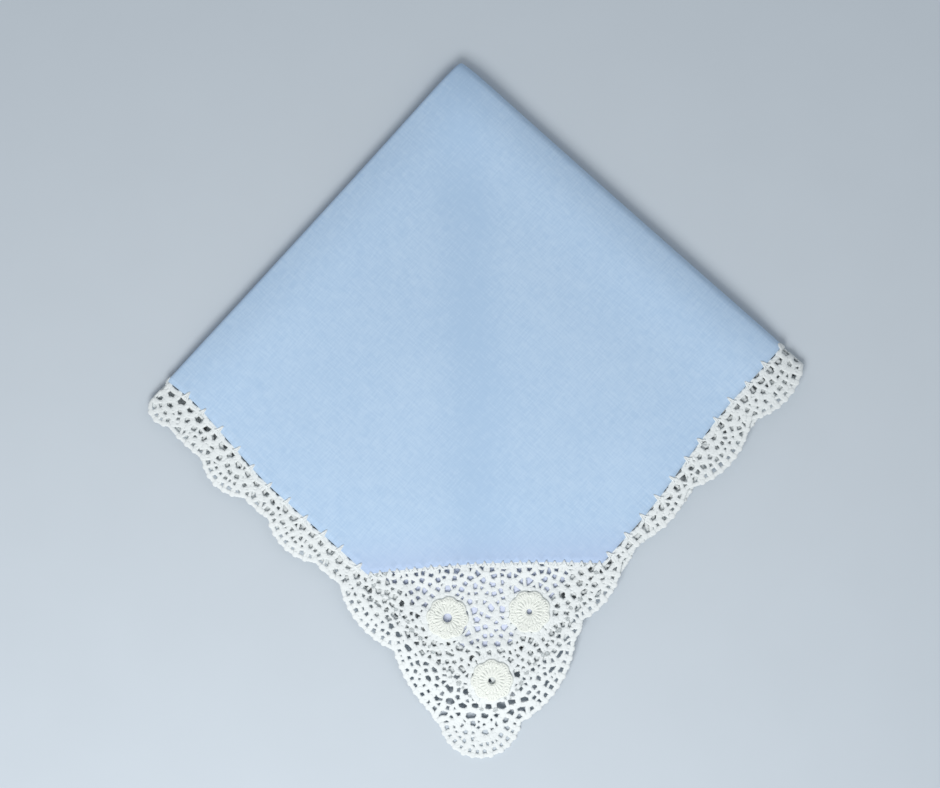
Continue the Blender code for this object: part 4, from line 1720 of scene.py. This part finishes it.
@dataclass
class ClothSheet:
    """The square of woven cotton with its rolled hem, as a thin closed sheet."""

    pattern: Pattern = PATTERN
    half_thickness: float = 0.17
    height: float = 0.1
    grid: float = 2.2
    turn_steps: int = 10
    margin: float = 20.0
    exactness: float = 1e-4
    hem_width: float = 2.0
    hem_rise: float = 0.12
    hem_slope: float = 0.7
    hem_round: float = 0.5
    hem_at_edge: float = 0.4
    hem_sink: float = 0.12
    pucker_pitch: float = 7.4
    pucker_reach: float = 5.0
    pucker_depth: float = 0.16
    ripple: float = 0.10
    ripple_scales: tuple = (11.0, 17.0, 13.0, 19.0)
    ripple_bends: Point = (1.3, 1.1)
    crease_clear: float = 3.0
    crease_fade: float = 10.0
    nearest: float = 0.12

    def _lines(self) -> list[list[Point]]:
        """Lines at which the sheet's mesh breaks: an even grid, closer at the two creases.

        Returns:
            The two ends of each line.
        """
        fold = self.pattern.fold
        reach = fold.cloth_half + self.margin
        turns = np.linspace(-math.pi / 2, math.pi / 2, self.turn_steps + 1)
        grid = np.linspace(-fold.cloth_half, fold.cloth_half, int(fold.cloth_half * 2 / self.grid) + 1)[1:-1]
        lines = []
        for middle, radius, crosses_a in (
            (fold.crease_a, fold.first_radius, True),
            (fold.crease_b, fold.second_radius, False),
        ):
            even = grid[abs(grid - middle) > radius * math.pi / 2 + self.grid / 3]
            for place in np.sort(np.concatenate([middle + turns * radius, even])):
                ends = [(place, -reach), (place, reach)]
                lines.append(ends if crosses_a else [end[::-1] for end in ends])
        return lines

    def _flat_mesh(self) -> tuple[Array, Array]:
        """The flat sheet's mesh, with a point wherever its lines cross.

        Returns:
            Its points, and the best-shaped triangles between them.
        """
        outline = self.pattern.cloth_outline()
        places, edges = [], []
        for ring in (outline, moved_in(outline, self.hem_width).tolist()):
            first, count = len(places), len(ring)
            places += [tuple(map(float, point)) for point in ring]
            edges += [(first + k, first + (k + 1) % count) for k in range(count)]
        for line in self._lines():
            places += [tuple(map(float, point)) for point in line]
            edges.append((len(places) - 2, len(places) - 1))
        crossings = delaunay_2d_cdt(places, edges, [], 0, self.exactness)[0]
        places = places[: len(outline)] + [tuple(point) for point in crossings]
        points, _, faces, _, _, _ = delaunay_2d_cdt(places, edges[: len(outline)], [], 0, self.exactness)
        points = np.array([tuple(point) for point in points])
        faces = np.array(faces)
        faces = faces[inside(points[faces].mean(axis=1), [outline])]
        used, faces = np.unique(faces, return_inverse=True)
        return points[used], faces.reshape(-1, 3)

    def _relief(self, points: Array) -> tuple[Array, Array]:
        """The sheet's relief.

        Args:
            points: Places on the flat sheet.

        Returns:
            The height of its middle and half its thickness there.
        """
        from_edge, _ = nearest_on(points, self.pattern.cloth_outline(), True)
        a, b = points.T
        rolled = eased(from_edge / self.hem_round + self.hem_at_edge)
        hem = self.hem_rise * eased((self.hem_width - from_edge) / self.hem_slope) * rolled
        turn = 2 * math.pi
        pucker = np.cos(turn * (a + b) / self.pucker_pitch) * np.cos(turn * (a - b) / self.pucker_pitch)
        pucker = self.pucker_depth * pucker * bell(from_edge, self.pucker_reach)
        one, two, three, four = self.ripple_scales
        bend_a, bend_b = self.ripple_bends
        wave = np.sin(a / one + bend_a * np.sin(b / two)) * np.sin(b / three + bend_b * np.sin(a / four + 1))
        fold = self.pattern.fold
        from_crease = np.minimum(abs(a - fold.crease_a), abs(b - fold.crease_b))
        clear = eased((from_crease - self.crease_clear) / self.crease_fade)
        middle = self.height - self.hem_sink * hem + (self.ripple * wave + pucker) * clear
        return middle, self.half_thickness + hem

    def build(self) -> Piece:
        """Makes the sheet, folds it and dresses it.

        Returns:
            The piece.
        """
        points, faces = self._flat_mesh()
        middle, half = self._relief(points)
        count = len(points)
        lower = np.column_stack([points, middle - half])
        upper = np.column_stack([points, middle + half])
        directed = {(i, j) for face in faces.tolist() for i, j in zip(face, face[1:] + face[:1])}
        walls = [(i, j, j + count, i + count) for i, j in sorted(directed) if (j, i) not in directed]
        shell = (faces + count).tolist() + faces[:, ::-1].tolist()
        piece = linked("cloth_sheet", np.concatenate([lower, upper]), (), shell + walls)
        self._tidy(piece.data)
        self._mark_places(piece.data)
        folded_up(piece)
        piece.data.shade_smooth()
        piece.data.materials.append(CLOTH_BLUE.material())
        return piece

    def _tidy(self, mesh: bpy.types.Mesh) -> None:
        """Merges points that are too near each other for the shading to stay smooth.

        Args:
            mesh: The sheet's mesh.
        """
        work = bmesh.new()
        work.from_mesh(mesh)
        bmesh.ops.remove_doubles(work, verts=work.verts, dist=self.nearest)
        work.to_mesh(mesh)
        work.free()

    def _mark_places(self, mesh: bpy.types.Mesh) -> None:
        """Keeps each point's place on the flat sheet as the UV map of the weave.

        Args:
            mesh: The sheet's mesh, not yet folded.
        """
        flat = np.empty(len(mesh.vertices) * 3, np.float32)
        mesh.vertices.foreach_get("co", flat)
        corner = np.empty(len(mesh.loops), np.int32)
        mesh.loops.foreach_get("vertex_index", corner)
        layer = mesh.uv_layers.new(name="sheet")
        layer.data.foreach_set("uv", flat.reshape(-1, 3)[corner, :2].reshape(-1))

    def area(self) -> float:
        """Flat area of the cloth.

        Returns:
            The area in square metres.
        """
        ring = np.array(self.pattern.cloth_outline())
        after = np.roll(ring, -1, axis=0)
        return abs(float((ring[:, 0] * after[:, 1] - ring[:, 1] * after[:, 0]).sum())) / 2 * MM * MM


@dataclass
class JoiningStitches:
    """Spikes of thread that join the net to the cloth, over its edge and through it."""

    pattern: Pattern = PATTERN
    thread: float = 0.33
    foot: float = 0.9
    face: float = 0.30
    base: float = 0.1
    shoulder: Point = (0.62, 0.75)
    waist: Point = (0.22, 0.5)
    tip_half: float = 0.02
    tip_dip: float = 0.12
    tip_past: float = 0.22
    along_jitter: float = 0.4
    widths: Point = (0.7, 1.3)
    reaches: Point = (0.7, 1.2)
    post_foot: Point = (0.2, 0.25)
    post_middle: float = 0.6
    post_reach: float = 0.7
    post_dip: float = 0.05
    post_share: float = 0.9

    def spike(self, place: Array, along: Array, out: Array, half: float, reach: float) -> list:
        """One spike: up from the net, over the edge to its tip, and down again.

        Args:
            place: Where on the edge it stands.
            along: The edge's direction there.
            out: The direction away from the cloth.
            half: Half its width at the foot.
            reach: How far in its tip lies.

        Returns:
            Its points, each a, b and height.
        """
        rise = [
            (half, self.foot, self.base),
            (self.shoulder[0] * half, self.shoulder[1], self.face - self.base),
            (self.waist[0] * half, -self.waist[1] * reach, self.face),
            (self.tip_half, -reach, self.face - self.tip_dip),
        ]
        tip = (0.0, -reach - self.tip_past, self.base)
        shape = [(-x, y, z) for x, y, z in rise] + [tip] + rise[::-1]
        return [(*(place + along * x + out * y), z) for x, y, z in shape]

    def along_edge(self, line: Sequence[Point], pitch: float, half: float, reach: float,
                   uneven: np.random.Generator) -> Threads:
        """Spikes along one of the cloth's edges.

        Args:
            line: The edge, with the cloth on the left of the way.
            pitch: From one spike to the next.
            half: Half the width of a spike's foot.
            reach: How far in its tip lies.
            uneven: Where its unevenness comes from.

        Returns:
            The threads.
        """
        walk, distances = self.pattern.spikes(line, pitch)
        distances = distances + uneven.uniform(-self.along_jitter, self.along_jitter, len(distances))
        places, ways = walk.at(np.clip(distances, 0, walk.length), 0)
        made = Threads()
        for place, way in zip(places, ways):
            out = np.array((way[1], -way[0]))
            wide = half * uneven.uniform(*self.widths)
            made.add(self.spike(place, way, out, wide, reach * uneven.uniform(*self.reaches)), self.thread)
            height = self.face - self.post_dip
            post = [
                (*(place + out * (self.foot - self.post_foot[0])), self.post_foot[1]),
                (*(place + out * self.post_middle), height),
                (*(place - out * reach * self.post_reach), height),
            ]
            made.add(post, self.thread * self.post_share)
        return made


@dataclass
class Rosette:
    """A raised crochet round: an eye, a ring of posts, and eight petals of fanned posts."""

    name: str
    centre: Point
    turn: float
    radius: float = 6.9
    eye: float = 1.55
    posts: int = 20
    post_end: float = 4.0
    petals: int = 8
    fan: int = 5
    # Height of its face at some radii
    profile: tuple = ((0.0, 0.1), (1.65, 0.26), (2.9, 0.52), (4.0, 0.36), (5.6, 0.52), (6.9, 0.12))
    sunk: float = 0.1
    rings: tuple = (
        ("round", "out", "thread", "count", "lift"),
        ("eye", 0.35, 0.45, 20, 0.0),
        ("post_end", 0.2, 0.42, 36, 0.05),
    )
    post_foot: float = 0.5
    post_middle: float = 2.9
    post_lift: float = 0.08
    post_thread: float = 0.52
    post_lean: float = 0.03
    upright_at: float = 2.0
    fan_foot: float = 0.4
    fan_middle: float = 5.2
    fan_lifts: tuple = (0.1, 0.18, 0.12)
    fan_spreads: Point = (0.55, 0.82)
    fan_short: float = 0.95
    fan_round: float = 1.5
    fan_thread: float = 0.44
    petal_foot: float = 0.9
    petal_short: float = 0.55
    petal_spread: float = 0.97
    petal_points: int = 9
    petal_thread: float = 0.5
    base_radii: tuple = (2.3, 3.2, 4.2, 5.2, 6.0, 6.5)
    base_sides: int = 48
    base_waist: float = 0.28
    base_top: float = 0.24
    base_bottom: float = -0.42

    def height(self, radius: float) -> float:
        """Height of the rosette's face at a radius."""
        return float(np.interp(radius, *zip(*self.profile)))

    def _at(self, radius: float, angle: float, lift: float = 0.0) -> Triple:
        """A point on or over the rosette's face.

        Args:
            radius: How far it is from the rosette's middle.
            angle: Its angle in radians.
            lift: How high over the face it is.

        Returns:
            Its a, b and height over the sheet's middle.
        """
        turned = angle + math.radians(self.turn)
        a = self.centre[0] + radius * math.cos(turned)
        b = self.centre[1] + radius * math.sin(turned)
        return a, b, self.height(radius) - self.sunk + lift

    def threads(self) -> Threads:
        """All its threads.

        Returns:
            The threads: two rings, the posts and the petals.
        """
        made = Threads()
        whole = 2 * math.pi
        for row in rows(self.rings):
            radius, count = getattr(self, row["round"]) + row["out"], row["count"]
            ring = [self._at(radius, whole * k / count, row["lift"]) for k in range(count)]
            made.add(ring, row["thread"], closed=True)
        for k in range(self.posts):
            angle = whole * (k + 0.5) / self.posts
            line = []
            for radius in (self.eye + self.post_foot, self.post_middle, self.post_end):
                leant = angle + self.post_lean * (radius - self.upright_at)
                line.append(self._at(radius, leant, self.post_lift))
            made.add(line, self.post_thread)
        for petal in range(self.petals):
            self._petal(made, whole * petal / self.petals, whole / self.petals)
        return made

    def _petal(self, made: Threads, middle: float, width: float) -> None:
        """One petal: posts that fan out to a thick rim.

        Args:
            made: The threads that it is added to.
            middle: The angle of its middle.
            width: The angle that it takes up.
        """
        for k in range(self.fan):
            share = (k - (self.fan - 1) / 2) / (self.fan - 1)
            foot, head = (middle + share * width * spread for spread in self.fan_spreads)
            top = self.radius - self.fan_short - self.fan_round * share * share
            radii = (self.post_end + self.fan_foot, self.fan_middle, top)
            angles = (foot, (foot + head) / 2, head)
            made.add([self._at(*place) for place in zip(radii, angles, self.fan_lifts)], self.fan_thread)
        foot = self.post_end + self.petal_foot
        tall = self.radius - self.petal_short - self.post_end - self.petal_foot
        rim = []
        for share in np.linspace(-0.5, 0.5, self.petal_points):
            bulge = math.sqrt(max(0.0, 1 - (2 * share) ** 2))
            rim.append(self._at(foot + tall * bulge, middle + share * width * self.petal_spread))
        made.add(rim, self.petal_thread)

    def base(self) -> tuple[Array, list]:
        """The closely worked ground under the threads, a closed dish with an open eye.

        Returns:
            Its points and its faces.
        """
        sides, radii = self.base_sides, (self.eye, *self.base_radii)
        section = [(radius, True) for radius in radii] + [(radius, False) for radius in reversed(radii)]
        points, faces = [], []
        for ring, (radius, upper) in enumerate(section):
            here, there = ring * sides, (ring + 1) % len(section) * sides
            for k in range(sides):
                angle = 2 * math.pi * k / sides
                between_petals = 0.5 - 0.5 * math.cos(self.petals * angle)
                waist = self.base_waist * (radius / radii[-1]) ** 3 * between_petals
                a, b, height = self._at(radius - waist, angle)
                points.append((a, b, height + self.base_top if upper else self.base_bottom))
                after = (k + 1) % sides
                faces.append((here + k, there + k, there + after, here + after))
        return np.array(points), faces


def joined(name: str, pieces: Sequence[Piece]) -> Piece:
    """One object of several flat ones.

    Args:
        name: Its name.
        pieces: The objects, of which the first one takes up the others.

    Returns:
        The joined object.
    """
    with bpy.context.temp_override(active_object=pieces[0], selected_editable_objects=list(pieces)):
        bpy.ops.object.join()
    pieces[0].name = name
    pieces[0].data.name = name
    return pieces[0]


class Crochet:
    """All the crochet work: the nets, the rim cord, the joining stitches and the rosettes."""

    fine = {"Step": 0.6, "Sides": 8, "Swell": 0.10, "Knot Detail": 2}
    coarse = {"Step": 1.0, "Sides": 6, "Swell": 0.10, "Knot Detail": 1}
    cord = {"Pitch": 1.0, "Length": 1.15, "Width": 0.66, "Tall": 0.62, "Core": 0.64}
    cord_inset = 0.72
    # Half the width of a joining stitch's foot and the reach of its tip, along the sides and along the cut
    side_spike = (1.0, 1.5)
    cut_spike = (0.75, 0.4)
    # What the nets and the rim cord are pressed to, and how much they are lowered
    net_most = 0.32
    net_lift = -0.2

    def __init__(self, pattern: Pattern) -> None:
        """Gets the tools ready.

        Args:
            pattern: The flat pattern that the work follows.
        """
        self.pattern = pattern
        self.thread_maker = ThreadMaker()
        self.bead_maker = BeadMaker()

    def net(self) -> list[Piece]:
        """The net of the corner piece and of the edging.

        Returns:
            The corner's piece, the top quarter's and the piece for the rest.
        """
        made = []
        names = {"corner": "corner_net", "top": "edging_net_top", "under": "edging_net_under"}
        for part, threads in LaceNet(self.pattern).draw().items():
            sizes = self.coarse if part == "under" else self.fine
            guide = threads.guide(part + "_guide")
            made.append(self.thread_maker.apply(guide, names[part], WHITE, sizes))
        return made

    def rim_cord(self) -> Piece:
        """The looped cord round the rim.

        Returns:
            The piece.
        """
        line = moved_in(self.pattern.rim(), self.cord_inset)
        threads = Threads()
        threads.add(np.column_stack([line, np.zeros(len(line))]), self.cord["Core"], closed=True)
        return self.bead_maker.apply(threads.guide("rim_guide"), "edging_rim", WHITE, self.cord)

    def joins(self) -> list[Piece]:
        """The joining stitches.

        Returns:
            The piece along the cloth's sides and the piece along its cut corner.
        """
        pattern, stitches = self.pattern, JoiningStitches(self.pattern)
        uneven = np.random.default_rng(SEED + 1)
        sides = pattern.uncut_sides(0)
        side = stitches.along_edge(sides, pattern.spike_pitch, *self.side_spike, uneven)
        # Along the cut, the way that has the cloth on its left runs from the a side to the b side.
        cut_edge = list(reversed(pattern.cut_edge(0)))
        cut = stitches.along_edge(cut_edge, pattern.cut_spike_pitch, *self.cut_spike, uneven)
        made = []
        for name, threads in (("edging_joins", side), ("corner_joins", cut)):
            made.append(self.thread_maker.apply(threads.guide(name + "_guide"), name, WHITE, self.fine))
        return made

    def rosettes(self) -> list[Piece]:
        """The three rosettes.

        Returns:
            A piece for each.
        """
        made = []
        for row, centre in zip(rows(self.pattern.rosettes), self.pattern.rosette_places()):
            rosette = Rosette(row["name"], centre, row["turn"], eye=row["eye"])
            guide = rosette.threads().guide("rosette_guide")
            threads = self.thread_maker.apply(guide, "threads", CREAM, self.fine)
            points, faces = rosette.base()
            base = linked("base", points, (), faces)
            base.data.materials.append(CREAM.material())
            base.data.shade_smooth()
            made.append(joined(row["name"] + "_crochet", [threads, base]))
        return made


@dataclass(frozen=True)
class Studio:
    """The plain pale floor, the lights and the camera."""

    floor_side: float = 3.0
    aim: Point = (-0.00211, 0.00535)
    frame_width: float = 0.2999
    lens: float = 85.0
    sensor: float = 36.0
    clip: Point = (0.01, 10.0)
    turn: float = -3.0
    sky: Triple = (0.92, 0.96, 1.0)
    sky_strength: float = 0.45
    lamps: tuple = (
        ("name", "place", "size", "power", "colour"),
        ("key", (-0.13, -0.36, 0.46), 0.3, 2.66, (1.0, 0.99, 0.97)),
        ("fill", (0.9, 0.1, 1.2), 1.0, 1.5, (0.94, 0.97, 1.0)),
    )

    def floor(self) -> Piece:
        """The floor, just under the handkerchief.

        Returns:
            The floor.
        """
        half = self.floor_side / 2
        corners = [(-half, -half, 0), (half, -half, 0), (half, half, 0), (-half, half, 0)]
        made = linked("floor", np.array(corners), (), [(0, 1, 2, 3)])
        made.data.materials.append(FLOOR.material())
        return made

    def camera(self) -> Piece:
        """The camera, straight above.

        Returns:
            The camera.
        """
        data = bpy.data.cameras.new("camera")
        data.lens, data.sensor_width = self.lens, self.sensor
        data.clip_start, data.clip_end = self.clip
        made = in_scene("camera", data)
        distance = self.frame_width * self.lens / self.sensor
        made.location = (*self.aim, distance)
        made.rotation_euler = (0, 0, math.radians(self.turn))
        bpy.context.scene.camera = made
        return made

    def light(self, name: str, place: Triple, size: float, power: float,
              colour: Triple) -> None:
        """A large soft lamp, turned to the handkerchief.

        Args:
            name: Its name.
            place: Where it hangs, in metres.
            size: Its side in metres.
            power: Its power in watts.
            colour: The colour of its light.
        """
        data = bpy.data.lights.new(name, "AREA")
        data.shape = "SQUARE"
        data.size = size
        data.energy = power
        data.color = colour
        made = in_scene(name, data)
        made.location = place
        toward = -np.array(place)
        flat = math.hypot(toward[0], toward[1])
        made.rotation_euler = (math.atan2(flat, -toward[2]), 0, math.atan2(toward[0], -toward[1]) + math.pi)

    def world(self) -> None:
        """Even pale light from all round."""
        world = bpy.data.worlds.new("room")
        world.use_nodes = True
        background = world.node_tree.nodes["Background"]
        background.inputs["Color"].default_value = (*self.sky, 1)
        background.inputs["Strength"].default_value = self.sky_strength
        bpy.context.scene.world = world

    def build(self) -> None:
        """Sets everything up."""
        bpy.context.scene.view_settings.view_transform = "Standard"
        self.floor()
        self.camera()
        for row in rows(self.lamps):
            self.light(**row)
        self.world()


def hand_over(piece: Piece, node: str) -> None:
    """Attaches a piece to the root in place of a solid, hides the solid, and logs it.

    Args:
        piece: The piece.
        node: The solid's node.
    """
    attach(piece, "root")
    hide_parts(node)
    piece.data.calc_loop_triangles()
    log.info("%s: %d triangles", piece.name, len(piece.data.loop_triangles))


def main() -> None:
    """Builds the handkerchief piece by piece."""
    logging.basicConfig(level=logging.INFO, format="%(message)s")
    Studio().build()
    sheet = ClothSheet()
    cloth = sheet.build()
    crochet = Crochet(PATTERN)
    corner, top, under = crochet.net()
    rim = crochet.rim_cord()
    edging_joins, corner_joins = crochet.joins()
    rosettes = crochet.rosettes()
    for piece in (corner, top, under, rim):
        folded_up(piece, crochet.net_most, crochet.net_lift)
    for piece in (edging_joins, corner_joins, *rosettes):
        folded_up(piece)
    hand_over(cloth, "cloth")
    for piece in (corner, corner_joins):
        hand_over(piece, "lace_corner")
    for piece in (top, under, rim, edging_joins):
        hand_over(piece, "lace_edging")
    for row, piece in zip(rows(PATTERN.rosettes), rosettes):
        hand_over(piece, row["name"])
    sheet.area()


if __name__ == "__main__":
    main()
